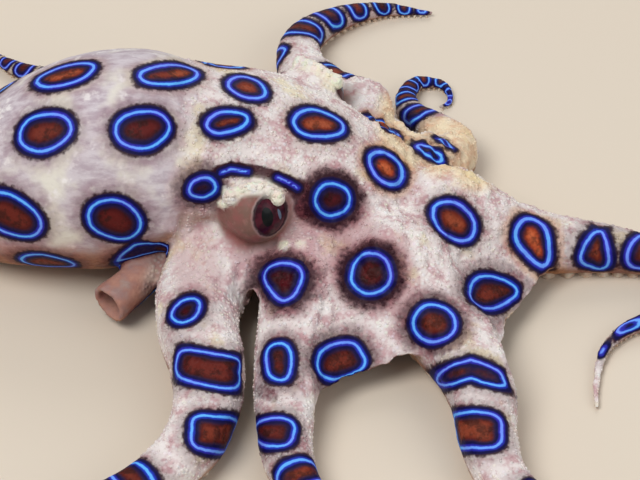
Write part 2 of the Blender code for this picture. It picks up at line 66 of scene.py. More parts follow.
# The studio, in metres: each lamp's name, place from the target, diameter and share of the light.
FLOOR_WIDE = 5.0
LAMPS = (
    ("key", (-0.28, -0.25, 0.62), 0.42, 1.0), ("fill", (0.55, -0.35, 0.42), 0.5, 0.35),
    ("back", (0.1, 0.6, 0.5), 0.5, 0.45),
)
SKY, SKY_STRENGTH = (0.85, 0.88, 0.92, 1.0), 0.4

# Each mantle station: X, half width, underside, top.
MANTLE_STATIONS = np.array([
    (-13.9, 10.0, 9.6, 22.0), (-15.4, 12.0, 7.4, 24.4), (-16.8, 12.75, 6.0, 25.2),
    (-18.6, 13.2, 4.2, 26.4), (-22.0, 13.6, 1.4, 27.4), (-26.5, 13.7, -0.25, 27.5),
    (-31.5, 13.2, -0.35, 26.4), (-36.5, 12.2, -0.3, 24.1), (-41.0, 10.7, -0.1, 21.4),
    (-45.5, 8.4, 1.0, 18.2), (-49.5, 5.6, 2.9, 14.9), (-52.2, 3.1, 4.9, 12.1),
    (-53.3, 1.7, 6.4, 10.5), (-53.7, 0.4, 8.0, 8.9),
])
MANTLE_EDGE = -17.0

HEAD_YAW = math.radians(-18.0)
HEAD_AHEAD = np.array([math.cos(HEAD_YAW), math.sin(HEAD_YAW), 0.0])
HEAD_LEFT = np.array([-HEAD_AHEAD[1], HEAD_AHEAD[0], 0.0])
# Each head station: X, Y, how far the head has turned there, half width, underside, top.
HEAD_STATIONS = np.array([
    (-20.5, 0.0, 0.0, 10.0, 10.0, 21.0), (-18.6, 0.0, 0.0, 11.8, 8.4, 23.9),
    (-16.15, 0.0, 0.0, 12.3, 7.2, 24.7), (-13.4, 0.1, 0.3, 12.2, 7.6, 24.3),
    (-9.8, 0.2, 0.7, 12.1, 8.0, 23.4), (-6.0, 0.0, 1.0, 11.9, 8.0, 22.2),
    (-2.4, -0.6, 1.0, 11.4, 8.0, 20.7), (1.2, -1.4, 1.0, 10.4, 8.0, 19.0),
    (4.4, -2.2, 1.0, 8.6, 8.4, 17.2), (6.8, -2.8, 1.0, 6.0, 9.0, 15.4),
    (8.1, -3.1, 1.0, 2.0, 11.2, 13.4),
])
# The crown's profile: distance from the middle, height.
CROWN_PROFILE = np.array([
    (0.0, 7.4), (1.5, 7.0), (2.6, 6.0), (6.0, 5.4), (10.4, 5.1), (12.2, 6.6), (12.5, 9.0),
    (11.9, 12.0), (8.6, 14.9), (4.6, 16.5), (0.0, 17.0),
])
MOUTH_HEIGHT = 6.4
LIP_MIDDLE = UP * (MOUTH_HEIGHT - 0.35)
LIP_RADIUS, LIP_THICKNESS = 2.1, 0.75
BEAK_RADIUS, BEAK_DEPTH = 1.25, 1.7

EYE_MIDDLE = np.array([-5.2, 0.1, 14.3])
EYE_SPAN, EYE_MOUND, EYE_PROUD = 9.6, 5.2, 2.3
EYE_LEAN = (0.9, 0.3, 0.32)
LID_THICKNESS, LID_DIP, LID_RIM = 0.2, 0.45, 0.12
BROW_ARCH, BROW_PROUD, BEAD_SUNK, BEAD_PALE = 3.9, 0.9, 0.35, 0.8
# Beads of the brow: degrees round the arch towards the mantle, radius.
BROW_BEADS = (
    (64, 0.45), (45, 1.0), (21, 0.66), (4, 0.6), (-12, 0.58), (-28, 0.64), (-49, 0.9),
)

# The siphon's middle line and radius, from inside the mantle to its mouth.
SIPHON_ROUTE = np.array([
    (-14.8, -3.6, 7.0, 2.0), (-16.6, -5.6, 6.2, 2.15), (-19.6, -9.4, 5.2, 2.3),
    (-23.0, -12.9, 4.3, 2.4), (-26.4, -16.4, 3.7, 2.7),
])
SIPHON_WALL = 0.8
# The visible globe is a little larger than the solid one and further forward.
GLOBE_RADIUS, GLOBE_FORWARD = 3.8, 0.2
# Directions from the right eye's middle, and half sizes as angles level and upright, in radians.
IRIS_WAY, IRIS_HALF, OPENING_HALF = (0.629, -0.703, 0.332), (0.80, 0.84), (0.56, 0.58)
PUPIL_WAY, PUPIL_HALF = (0.42, -0.818, 0.393), (0.20, 0.33)
# The glint is a painted highlight: a small slate-grey streak beside the pupil.
GLINT_WAY, GLINT_HALF = (0.80, -0.53, 0.28), (0.07, 0.2)

ARM_START = 11.0
NEIGHBOUR = math.radians(42.0)
ARM_BASE = (ARM_START * math.sin(NEIGHBOUR / 2) - 0.15) / math.cos(NEIGHBOUR / 2)
ARM_FIRST_REACH, ARM_SWELL, ARM_TIP = 4.0, 7.0, 0.42
ARM_HEIGHT_SHARE = 0.86
SUCKER_STANDS = (0.12, 0.17)
# A visible sucker's profile: radius, height over its rim and how far in the cup, from root to cup.
SUCKER_PROFILE = (
    (0.70, 0.9, 0.0), (0.74, 0.45, 0.0), (0.96, 0.12, 0.0), (1.0, 0.0, 0.0), (0.84, -0.02, 0.15),
    (0.55, 0.3, 0.7), (0.34, 0.42, 0.9), (0.05, 0.5, 1.0),
)
# Each arm: azimuth, girth, taper, rise, touch, then its route over the floor after the crown.
ARMS = {
    "r4": (-139, 5.7, 0.8, 3.2, 13, (
        (-14.6, -15.6), (-15.0, -21.5), (-13.7, -28.0), (-13.6, -34.0), (-15.6, -41.0),
        (-21.0, -46.8), (-28.6, -49.8), (-36.6, -49.2), (-43.0, -45.0))),
    "r3": (-97, 4.9, 0.75, 4.4, 16, (
        (-2.9, -21.0), (-3.9, -28.0), (-4.2, -35.5), (-3.6, -43.0), (-0.4, -49.6), (5.2, -54.0),
        (12.5, -55.2))),
    "r2": (-55, 5.6, 0.8, 4.8, 17, (
        (13.0, -18.6), (17.2, -25.4), (19.6, -32.5), (20.0, -39.5), (22.0, -46.2), (27.4, -50.8),
        (34.6, -52.0), (41.0, -48.8))),
    "r1": (-13, 5.1, 1.5, 5.0, 20, (
        (20.0, -4.3), (26.0, -4.9), (32.0, -5.0), (38.0, -5.3), (43.6, -6.4), (46.8, -9.4),
        (46.2, -13.4), (42.6, -15.8), (38.4, -17.8), (35.4, -21.0), (34.0, -25.8),
        (33.6, -31.4))),
    "l1": (29, 3.9, 1.35, 3.4, 13, (
        (16.2, 10.4), (17.6, 14.6), (15.2, 18.8), (12.4, 22.6), (11.6, 26.8), (13.2, 30.4),
        (16.6, 30.4), (17.7, 27.4), (16.0, 25.8))),
    "l2": (71, 4.8, 1.0, 4.8, 16, (
        (3.8, 19.3), (0.4, 24.8), (-2.6, 31.0), (-2.4, 37.6), (1.8, 43.0), (8.4, 46.4),
        (15.8, 46.4))),
    "l3": (113, 4.8, 1.0, 4.4, 16, (
        (-9.3, 19.0), (-14.2, 24.2), (-20.2, 27.8), (-27.2, 28.8), (-34.6, 29.8), (-41.4, 33.4),
        (-46.6, 39.0))),
    "l4": (155, 4.6, 0.95, 3.2, 13, (
        (-18.0, 9.8), (-23.0, 15.0), (-29.8, 18.4), (-37.6, 19.2), (-45.4, 20.4), (-52.6, 23.6),
        (-58.8, 28.6), (-63.4, 35.0))),
}
# How far each web reaches along the arm before it and along the arm after it.
WEBS = {
    ("r4", "r3"): (12.5, 9.0), ("r3", "r2"): (24.0, 20.0), ("r2", "r1"): (25.0, 22.0),
    ("r1", "l1"): (14.5, 9.5), ("l1", "l2"): (10.0, 7.0), ("l2", "l3"): (16.0, 12.0),
    ("l3", "l4"): (16.0, 14.0),
}
WEB_ROOT, WEB_START, WEB_SEAT, WEB_OVERRUN = -2.0, 3.0, 0.72, 1.5
WEB_DROOP, WEB_BOW, WEB_LOWEST = 2.3, 0.14, 0.5

# Rings seen in the picture: middle in pixels, half sizes in pixels, tilt from right to up in degrees,
# how square (2 is an oval), how pointed towards its first axis, bend, dark surround, orange share.
SEEN_RINGS = (
    (65.5, 75.2, 28.5, 9.2, 15, 2.0, 0, 0, 0.2, 0.5), (168.5, 74.7, 28, 9.6, 3, 2.0, 0, 0, 0.2, 0.5),
    (45, 132.2, 25.5, 18.2, 18, 2.0, 0, 0, 0.25, 0.15),
    (142.3, 129.4, 27.5, 17.8, 8, 2.0, 0, 0, 0.35, 0.05),
    (11, 215, 33, 17.4, -29, 2.0, 0, 0, 0.3, 0.1), (114.5, 219.5, 26, 19, -14, 2.0, 0, 0, 0.35, 0.05),
    (247, 87.5, 19, 9.8, -14, 2.0, 0, 0, 0.1, 0.4), (227, 122, 20.2, 10.4, 10, 2.0, 0.1, 0, 0.2, 0.3),
    (318.5, 124, 24.5, 13.2, -9, 2.0, 0.15, 0, 0.2, 0.5),
    (202.5, 187.7, 13.4, 9.6, 8, 2.0, 0, 0, 0.7, 0.0),
    (332.4, 199.5, 17.7, 15.5, 0, 2.0, 0, 0, 1.0, 0.0),
    (283.6, 281.6, 19.2, 17.4, -90, 2.0, 0.28, 0, 0.9, 0.0),
    (371, 273.8, 21, 19, 72, 2.0, 0, 0, 1.0, 0.05), (386, 168, 19.6, 12.6, -49, 2.0, 0, 0, 0.15, 0.9),
    (454.6, 221.3, 23.5, 16.2, -45, 2.0, 0.1, 0, 0.2, 0.4),
    (535, 243.4, 25, 14.5, -68, 2.0, 0.45, 0, 0.15, 1.0),
    (494, 292, 23.6, 15.4, 3, 2.0, 0.4, 0, 0.5, 0.15), (434, 323.4, 20.5, 19, 0, 2.0, 0, 0, 0.7, 0.2),
    (186, 310.6, 15.2, 10.4, 30, 2.0, 0, 0, 0.3, 0.0), (208.5, 369, 32, 16, -9, 4.5, 0, 0, 0.3, 0.1),
    (215, 433.5, 24.5, 17, -5, 3.5, 0, 0, 0.3, 0.2), (278.8, 361.4, 13, 17.8, 0, 2.4, 0, 0, 0.5, 0.1),
    (275, 432, 19, 14.2, 0, 2.6, 0, 0, 0.4, 0.1), (340.5, 361, 23.4, 17.4, 20, 2.4, 0, 0, 0.6, 0.15),
    (471, 368.8, 33.5, 9, 0, 3.0, 0, 0.33, 0.3, 0.25), (472, 429.5, 30.5, 18, 0, 3.0, 0, 0.1, 0.3, 0.3),
    (596, 249.5, 18.5, 12.4, 81, 2.6, 0.5, 0, 0.3, 0.3), (643, 252, 17, 14.2, 80, 2.6, 0.2, 0, 0.3, 0.4),
    (628, 325, 13, 6, 22, 2.4, 0, 0, 0.3, 0.4), (601, 349, 5.5, 4, 50, 2.0, 0, 0, 0.2, 0.2),
)
# Rings on surfaces that turn away from the camera: the same words, with sizes as they lie on the skin.
GRAZING_RINGS = (
    (225, 54, 18, 14, 0, 2.0, 0, 0, 0.2, 0.6), (272, 57, 15, 11, -10, 2.0, 0, 0, 0.2, 0.5),
    (-12, 92, 24, 15, 20, 2.0, 0, 0, 0.2, 0.4), (386, 120, 19, 13, -40, 2.2, 0, 0, 0.2, 0.9),
    (430, 148, 14, 7, -40, 2.4, 0, 0, 0.2, 0.3), (449, 143, 8, 5, -38, 2.0, 0, 0, 0.2, 0.3),
)

# Where the rings that follow the rule start on each arm, and their pitch in half widths.
ARM_RINGS = {
    "r4": (38.5, 1.75), "r3": (36.0, 1.75), "r2": (39.0, 1.75), "r1": (33.5, 1.3), "l1": (21.0, 1.5),
    "l2": (15.0, 1.75), "l3": (6.0, 1.75), "l4": (6.0, 1.75),
}
# Where these rows end: the front arm's tip has only its seen marks.
LAST_RINGS = {"r1": 47.5}
MIRRORED_MANTLE = (2, 3, 4, 5)
MIRRORED_HEAD = (10, 11)
# How near to another ring's middle a mirrored one may come, beyond its own size.
RING_GAP = 3.0
# A ring seen at a silhouette closes where the skin turns away this far, on limbs of about this radius.
HORIZON, HORIZON_RADIUS = 0.04, 5.0
# A ring laid flat closes where the skin turns from its middle's normal past this cosine. Past either
# limit its distance grows, and skin this far from it is left alone.
TURNED, TURNED_MOST = 0.3, 2.7
# Rings low on the mantle's flanks and behind the left eye: a point near them, half length, half height
# and the sides that have them, -1 right and 1 left.
FLANK_RINGS = (
    ((-22.6, 12.8, 5.6), 3.1, 2.2, (-1, 1)), ((-34.2, 12.0, 5.4), 3.2, 2.3, (-1, 1)),
    ((-45.0, 8.4, 5.6), 2.6, 1.9, (-1, 1)), ((-7.3, 11.8, 16.4), 1.75, 1.35, (1,)),
)
STROKES = (
    ((221, 173), (231, 169), (248, 172)),
    ((277, 177.5), (288, 182), (298, 188)),
)
# Soft dark patches by pixels, then how wide they are in millimetres and how strong. The first is the brow's
# black band and the second runs on from it; the third is painted shade under the brow over the iris; the
# last is a dark patch on an arm.
DARK_PATCHES = (
    (((219, 172), (231, 168.5), (249, 171), (262, 173), (275, 177), (287, 182), (299, 189)), 0.6, 1.0),
    (((299, 189), (305, 198), (304, 208)), 1.0, 0.8),
    (((262, 188), (278, 205)), 0.5, 0.6), (((250, 388), (272, 396)), 0.7, 0.55),
)
# Brown undersides seen along an edge, sand-coloured patches, pink patches and pale beads, in the same words.
BROWN_PATCHES = (
    (((556, 278), (600, 279), (640, 274)), 0.9, 1.0), (((513, 194), (530, 201), (548, 209)), 0.2, 0.8),
)
SANDY_PATCHES = (
    (((404, 112), (404, 146), (424, 122), (440, 150), (462, 140), (476, 165)), 2.2, 0.7),
)
ROSY_PATCHES = (
    (((254, 240), (300, 250), (340, 248), (352, 240)), 2.4, 0.6), (((392, 250), (400, 300)), 1.6, 0.5),
    (((300, 200), (306, 236)), 1.6, 0.6), (((188, 230), (200, 280)), 2.0, 0.4),
)
PALE_PATCHES = (
    (((221.5, 203), (223, 204)), 0.35, 1.0), (((224, 189), (225, 190)), 0.25, 1.0),
    (((283, 245), (285, 245)), 0.4, 0.9), (((300, 244), (302, 244)), 0.35, 0.7),
)
# What a ring field reads where no ring is near.
NO_RING = 12.0

SETTLE_SEED = 7
# Size of the skin's grain in millimetres.
GRAIN = 0.62
# Granules keep this far from a ring's line and from a globe; their height in radii.
RING_CLEAR, GLOBE_CLEAR, DOME_TALL = 1.25, 0.7, 0.75
# Rounds of smoothing, and how far from the mouth and how high the webs and crown are softened most.
SETTLE_ROUNDS, SOFT_REACH, SOFT_TOP = 22, 27.0, 17.5
# Around an eye, this far from its mound's middle, nothing is softened.
EYE_KEPT = 8.8
# Lumps of living skin: wave length in millimetres, waves, seed. Then the groove behind the head.
FINE_LUMPS, BROAD_LUMPS = (1.7, 16, 3), (5.0, 12, 4)
GROOVE_DEPTH, GROOVE_WIDTH = 0.85, 0.6


def ease(value):
    """A share from 0 to 1 with a level start and end: three times its square less twice its cube."""
    held = np.clip(value, 0.0, 1.0)
    return held * held * (3.0 - 2.0 * held)


def lengths(vectors):
    """Length of each vector along the last axis."""
    return np.linalg.norm(vectors, axis=-1)


def unit(vectors):
    """Vectors scaled to length one."""
    return vectors / np.maximum(lengths(vectors)[..., None], 1e-9)


def dots(first, second):
    """Scalar product of each pair of vectors, as a column."""
    return np.sum(first * second, axis=-1, keepdims=True)


def leftward(heading):
    """Level headings turned a quarter to the left."""
    return np.stack([-heading[..., 1], heading[..., 0]], -1)


def circle(sides):
    """Cosines and sines of equal turns all round."""
    angle = np.linspace(0.0, math.tau, sides, endpoint=False)
    return np.cos(angle), np.sin(angle)


def rounds(first, second, sides):
    """Unit vectors all round, turned from first towards second, for one pair or a row of pairs."""
    cosine, sine = circle(sides)
    return first[..., None, :] * cosine[:, None] + second[..., None, :] * sine[:, None]


def smooth_line(points, steps=14):
    """A Catmull-Rom curve: each span is a cubic whose slopes are half the step between its neighbours."""
    given = np.asarray(points, float)
    padded = np.vstack([2 * given[0] - given[1], given, 2 * given[-1] - given[-2]])
    share = np.linspace(0.0, 1.0, steps, endpoint=False)[None, :, None]
    before, start = padded[:-3, None], padded[1:-2, None]
    end, after = padded[2:-1, None], padded[3:, None]
    linear = (end - before) * share
    square = (2 * before - 5 * start + 4 * end - after) * share**2
    cube = (3 * start - before - 3 * end + after) * share**3
    spans = 0.5 * (2 * start + linear + square + cube)
    return np.vstack([spans.reshape(-1, given.shape[1]), given[-1:]])


def waves(points, length, count=14, seed=1):
    """Smooth lumps between -1 and 1: a mean of sine waves of about one length in random directions."""
    dice = np.random.default_rng(seed)
    ways = unit(dice.normal(size=(count, 3))) * dice.uniform(0.7, 1.4, (count, 1)) * math.tau / length
    phases = dice.uniform(0.0, math.tau, count)
    return np.sin(points @ ways.T + phases).sum(axis=1) / math.sqrt(count)


class Arm:
    """One arm's lie over the floor and its sizes, all as functions of the distance along it."""

    def __init__(self, name):
        azimuth, self.girth, self.taper, self.rise, self.touch, route = ARMS[name]
        turn = math.radians(azimuth)
        away = np.array([math.cos(turn), math.sin(turn)])
        first = [away * (ARM_START + ARM_FIRST_REACH * step) for step in (-1, 0, 1)]
        self.line = smooth_line(np.vstack([first, route]))
        steps = lengths(np.diff(self.line, axis=0))
        self.run = np.concatenate([[0.0], np.cumsum(steps)]) - ARM_FIRST_REACH
        self.length = self.run[-1]

    def point(self, along):
        """Points over the floor at distances along the arm."""
        return np.stack([np.interp(along, self.run, self.line[:, axis]) for axis in (0, 1)], -1)

    def places(self, along):
        """Points over the floor and unit headings there."""
        return self.point(along), unit(self.point(along + 0.4) - self.point(along - 0.4))

    def half_width(self, along):
        """It swells from the crown to its full girth and then tapers to the tip as a power."""
        swell = ARM_BASE + (self.girth - ARM_BASE) * ease(along / ARM_SWELL)
        left = np.clip(1.0 - (along - ARM_SWELL) / (self.length - ARM_SWELL), 0.0, 1.0)
        return np.where(along < ARM_SWELL, swell, ARM_TIP + (self.girth - ARM_TIP) * left**self.taper)

    def stand(self, along):
        """How tall the suckers are, which is how far the sole stands over the floor."""
        return SUCKER_STANDS[0] + SUCKER_STANDS[1] * self.half_width(along)

    def sole(self, along):
        """Height of the underside: up at the crown, then down to the suckers' height."""
        return self.stand(along) + self.rise * (1.0 - ease(along / self.touch))

    def at(self, along, across, up):
        """Points in an arm's own section: across in half widths to its left, up in half heights."""
        point, heading = self.places(along)
        half = self.half_width(along)
        plan = point + leftward(heading) * (across * half)[..., None]
        height = self.sole(along) + ARM_HEIGHT_SHARE * half * (1.0 + up)
        return np.concatenate([plan, height[..., None]], axis=-1)


def grid_faces(rows, columns, wrapped=True):
    """Quads of a grid of points, row by row; wrapped joins the last column to the first."""
    across = columns if wrapped else columns - 1
    row, column = np.meshgrid(np.arange(rows - 1), np.arange(across), indexing="ij")
    near = row * columns + column
    beside = row * columns + (column + 1) % columns
    return np.stack([near, beside, beside + columns, near + columns], axis=-1).reshape(-1, 4)


def tube(rings):
    """A closed tube through an array of rings (stations, sides, 3), with a flat cap at each end."""
    stations, sides = rings.shape[:2]
    faces = grid_faces(stations, sides).tolist()
    faces.append(list(range(sides))[::-1])
    faces.append(list(range((stations - 1) * sides, stations * sides)))
    return rings.reshape(-1, 3), faces


def body_form(stations, sides=72):
    """Ovals across the body: middle plus half width sideways and half height upwards round the circle.

    Each station is X, Y, turn, half width, underside, top, joined by a smooth curve.
    """
    x, y, turn, wide, low, high = smooth_line(stations, 6).T[:, :, None]
    cosine, sine = circle(sides)
    out = wide * cosine
    height = (low + high) / 2 + (high - low) / 2 * sine
    return tube(np.stack([x - np.sin(turn) * out, y + np.cos(turn) * out, height], axis=-1))


def mantle_form():
    """The mantle: an egg lying along X that ends in a blunt point."""
    return body_form(np.insert(MANTLE_STATIONS, (1, 1), 0.0, axis=1))


def head_form():
    """The head from inside the mantle to the nose, turning a little towards -Y."""
    return body_form(HEAD_STATIONS * (1, 1, HEAD_YAW, 1, 1, 1))


def crown_form(sides=96):
    """The crown the arms grow from: its profile turned about the mouth."""
    radius, height = smooth_line(CROWN_PROFILE, 5).T[:, :, None]
    radius = np.maximum(radius, 0.01)
    cosine, sine = circle(sides)
    return tube(np.stack([radius * cosine, radius * sine, height + 0 * sine], axis=-1))


def frame_about(axis):
    """Two unit vectors square to an axis: the one nearest to up, or X for an upright axis, and the next."""
    near = np.eye(3)[0] if abs(axis[2]) > 0.9 else UP
    first = unit(near - axis * (near @ axis))
    return first, np.cross(axis, first)


def ball_form(centre, radius, axis=UP, rings=14, sides=22):
    """A ball of latitude rings about an axis, from just off one pole to just off the other."""
    polar = np.linspace(0.02, math.pi - 0.02, rings)[:, None, None]
    out = rounds(*frame_about(axis), sides)
    return tube(centre + radius * (axis * np.cos(polar) + out * np.sin(polar)))


def lip_form(turns=28, sides=10):
    """The lips: a ring of round section about the mouth, its two ends meeting in one closed surface."""
    cosine, sine = circle(sides)
    out = rounds(*frame_about(UP), turns)[:, None] * (LIP_RADIUS + LIP_THICKNESS * cosine[:, None])
    points = LIP_MIDDLE + out + UP * LIP_THICKNESS * sine[:, None]
    return points.reshape(-1, 3), (grid_faces(turns + 1, sides) % (turns * sides)).tolist()


def eye_frame(side):
    """Middle of the eye's mound, the eye's own middle and its outward axis; side -1 is the right."""
    out, ahead, up = EYE_LEAN
    axis = unit(HEAD_LEFT * side * out + HEAD_AHEAD * ahead + UP * up)
    mound = EYE_MIDDLE + HEAD_LEFT * side * EYE_SPAN
    return mound, mound + axis * EYE_PROUD, axis


def globe_middle(side):
    """Middle of the visible globe."""
    return eye_frame(side)[1] + GLOBE_FORWARD * HEAD_AHEAD


def oval_gap(ways, middle, half):
    """How far a direction is outside an oval about a middle one: below 0 inside, 0 on its line."""
    middle = unit(np.array(middle, float))
    upward, beside = frame_about(middle)
    return np.hypot(ways @ beside / half[0], ways @ upward / half[1]) - 1.0 + 9.0 * (ways @ middle < 0)


def looking(offsets, side):
    """Directions from an eye's middle as the right eye has them."""
    ways = unit(offsets)
    return ways if side == -1 else over_head(ways, True)


def brow_beads(side):
    """Middle and radius of each bead over an eye."""
    mound, _, axis = eye_frame(side)
    upward, beside = frame_about(axis)
    height = math.sqrt(EYE_MOUND**2 - BROW_ARCH**2) + BROW_PROUD
    beads = []
    for degrees, size in BROW_BEADS:
        turn = math.radians(degrees) * -side
        away = upward * math.cos(turn) + beside * math.sin(turn)
        beads.append((mound + axis * height + away * BROW_ARCH, size))
    return beads


def eye_forms():
    """Mounds, lids over the globes and the beads of the brows on both sides."""
    forms = []
    for side in (-1, 1):
        mound, _, axis = eye_frame(side)
        forms.append(ball_form(mound, EYE_MOUND, axis, 22, 36))
        forms.append(ball_form(globe_middle(side), GLOBE_RADIUS + LID_THICKNESS, axis, 22, 36))
        forms += [ball_form(middle, size) for middle, size in brow_beads(side)]
    return forms


def open_lids(points):
    """Dips the skin under each globe's surface inside the lid's oval opening, with a low rim round it."""
    for side in (-1, 1):
        offset = points - globe_middle(side)
        far = lengths(offset)
        near = np.flatnonzero(far < GLOBE_RADIUS + 2.0 * LID_THICKNESS + 0.3)
        gap = oval_gap(looking(offset[near], side), IRIS_WAY, OPENING_HALF)
        inside = ease((0.34 - gap) / 0.7)
        rim = LID_RIM * np.exp(-((gap - 0.42) / 0.2) ** 2)
        wanted = (GLOBE_RADIUS - LID_DIP) * inside + (far[near] + rim) * (1.0 - inside)
        points[near] += offset[near] * (wanted / far[near] - 1.0)[:, None]


def siphon_form(sides=28):
    """The funnel: round sections square to its route, out to the mouth and back in as a hollow."""
    route = smooth_line(SIPHON_ROUTE, 5)
    heading = unit(np.gradient(route[:, :3], axis=0))
    back_in = slice(None, -8, -1)
    route = np.vstack([route, route[back_in] - (0, 0, 0, SIPHON_WALL)])
    heading = np.vstack([heading, heading[back_in]])
    beside = unit(np.cross(heading, UP))
    out = rounds(beside, np.cross(beside, heading), sides)
    return tube(route[:, None, :3] + out * route[:, None, 3:])


def arm_form(arm, sides=36):
    """A superellipse carried along the arm, rounder above than below, with a rounded tip."""
    along = np.linspace(-2.5, arm.length, round(arm.length / 0.5))
    cosine, sine = circle(sides)
    power = np.where(sine > 0, 2 / 2.5, 2 / 3.6)
    across, up = (np.sign(part) * np.abs(part) ** power for part in (cosine, sine))
    return tube(arm.at(np.repeat(along[:, None], sides, 1), across, up))


def web_edge(arm, side, along, sunk=WEB_OVERRUN):
    """The line on an arm's flank where a web grows from it, sunk into the arm."""
    low, high = arm.at(along, side, 0.05), arm.at(along, side * 0.93, 0.62)
    seat = (low + high) / 2
    seat[:, 2] = low[:, 2] + WEB_SEAT * (high[:, 2] - low[:, 2])
    seat[:, :2] -= leftward(arm.places(along)[1]) * side * sunk
    return seat


def web_middle(first, second, reaches, rows=26, columns=24):
    """A web's middle surface and thickness: straight across, bowed to the mouth, drooped as a parabola."""
    share = np.linspace(0.0, 1.0, rows)
    mean_reach = (reaches[0] + reaches[1]) / 2
    near, far = (web_edge(arm, side, WEB_ROOT + (reach - WEB_ROOT) * share)
                 for arm, side, reach in zip((first, second), (1, -1), reaches))
    mean = WEB_ROOT + (mean_reach - WEB_ROOT) * share
    depth = mean_reach - WEB_START
    down = np.clip((mean - WEB_START) / depth, 0.0, 1.0)[:, None]
    inward = np.column_stack([near[:, 1] - far[:, 1], far[:, 0] - near[:, 0], np.zeros(rows)])
    inward = unit(inward) * np.sign(-dots(inward, near + far))
    width = lengths(far - near)[:, None]
    across = np.linspace(0.0, 1.0, columns)[None, :]
    bow = 4.0 * across * (1.0 - across)
    middle = near[:, None] * (1.0 - across)[..., None] + far[:, None] * across[..., None]
    middle += inward[:, None] * (bow * WEB_BOW * np.minimum(width, depth) * down**2)[..., None]
    thick = np.maximum(1.15 - 0.35 * down, 0.8) + 0 * bow
    droop = WEB_DROOP * down**1.5 * np.minimum(width / 12.0, 1.0)
    middle[..., 2] = np.maximum(middle[..., 2] - bow * droop, WEB_LOWEST + thick / 2)
    return middle, thick


def web_form(first, second, reaches):
    """A thin closed sheet between two arms, half its thickness above and below its middle surface."""
    middle, thick = web_middle(first, second, reaches)
    lift = UP * thick[..., None] / 2
    return tube(np.concatenate([middle + lift, (middle - lift)[:, ::-1]], axis=1))


def mesh_from(name, points, faces):
    mesh = bpy.data.meshes.new(name)
    mesh.from_pydata(np.asarray(points).tolist(), [], faces)
    mesh.update(calc_edges=True)
    return mesh


def joined(forms):
    """Several shapes' points and faces as one."""
    points, faces, first = [], [], 0
    for form_points, form_faces in forms:
        points.append(form_points)
        faces.extend([[corner + first for corner in face] for face in form_faces])
        first += len(form_points)
    return np.vstack(points), faces


def read_points(mesh, what="vertices", field="co"):
    """A mesh's points or normals as an array of rows."""
    rows = getattr(mesh, what)
    values = np.empty(len(rows) * 3, np.float32)
    rows.foreach_get(field, values)
    return values.reshape(-1, 3).astype(float)


def read_edges(mesh):
    """A mesh's edges as pairs of point numbers."""
    edges = np.empty(len(mesh.edges) * 2, np.int32)
    mesh.edges.foreach_get("vertices", edges)
    return edges.reshape(-1, 2)


def melt_together(forms, voxel):
    """One closed surface round overlapping closed forms, from a voxel remesh, in millimetres."""
    raw = bpy.data.objects.new("raw_flesh", mesh_from("raw_flesh", *joined(forms)))
    bpy.context.scene.collection.objects.link(raw)
    step = raw.modifiers.new("joined", "REMESH")
    step.mode = "VOXEL"
    step.voxel_size = voxel
    graph = bpy.context.evaluated_depsgraph_get()
    mesh = bpy.data.meshes.new_from_object(raw.evaluated_get(graph))
    bpy.data.objects.remove(raw)
    mesh.name = "octopus_skin"
    return mesh


def relax(points, edges, strength, rounds):
    """Moves each row of values towards the mean of its neighbours by its own strength, over and over."""
    ends = np.concatenate([edges[:, 0], edges[:, 1]])
    others = np.concatenate([edges[:, 1], edges[:, 0]])
    valence = np.maximum(np.bincount(ends, minlength=len(points)), 1)[:, None]
    for _ in range(rounds):
        sums = [np.bincount(ends, column[others], len(points)) for column in points.T]
        points = points + strength[:, None] * (np.stack(sums, axis=1) / valence - points)
    return points


def boxed(points, line, margin):
    """Indexes of the points in a line's bounding box, widened by a margin."""
    return np.flatnonzero(np.all((points > line.min(0) - margin) & (points < line.max(0) + margin), axis=1))


def beside_lines(points, lines, reach, fall):
    """1 near any of some lines, falling to 0 at a reach from them."""
    close = np.zeros(len(points))
    for line in lines:
        some = boxed(points, line, reach)
        gaps = lengths(points[some, None] - line).min(axis=1)
        close[some] = np.maximum(close[some], ease((reach - gaps) / fall))
    return close


def near_seats(points, arms):
    """1 beside the lines where the webs grow from the arms, falling to 0 away from them."""
    lines = [web_edge(arms[name], side, np.linspace(WEB_ROOT, reach + 0.5, 40), 0.0)
             for pair, reaches in WEBS.items() for name, side, reach in zip(pair, (1, -1), reaches)]
    return beside_lines(points, lines, 3.2, 2.0)


def near_rims(points, arms):
    """1 beside the free edges of the webs, falling to 0 away from them."""
    rims = [web_middle(arms[a], arms[b], reaches)[0][-1] for (a, b), reaches in WEBS.items()]
    return beside_lines(points, rims, 2.6, 1.4)


class ArmPlaces:
    """For every point of a surface: the arm it belongs to and where on that arm it is."""

    def __init__(self, points, arms):
        count = len(points)
        self.ratio, self.half = np.full(count, 9.0), np.ones(count)
        self.index, self.heading = np.zeros(count, int), np.zeros((count, 3))
        self.along, self.left, self.over = np.zeros((3, count))
        for k, arm in enumerate(arms.values()):
            stations = np.linspace(0.0, arm.length, max(60, round(arm.length * 2)))
            axis = arm.at(stations, 0.0, 0.0)
            half = arm.half_width(stations)
            some = boxed(points, axis, 2.2 * arm.girth)
            gaps = lengths(points[some, None].astype(np.float32) - axis.astype(np.float32))
            best = np.argmin(gaps / half, axis=1)
            ratio = gaps[np.arange(len(some)), best] / half[best]
            nearer = ratio < self.ratio[some]
            some, best, ratio = some[nearer], best[nearer], ratio[nearer]
            _, heading = arm.places(stations[best])
            offset = points[some] - axis[best]
            self.ratio[some], self.index[some], self.half[some] = ratio, k, half[best]
            self.along[some] = stations[best] + dots(offset[:, :2], heading)[:, 0]
            self.left[some] = dots(offset[:, :2], leftward(heading))[:, 0]
            self.over[some] = offset[:, 2]
            self.heading[some, :2] = heading


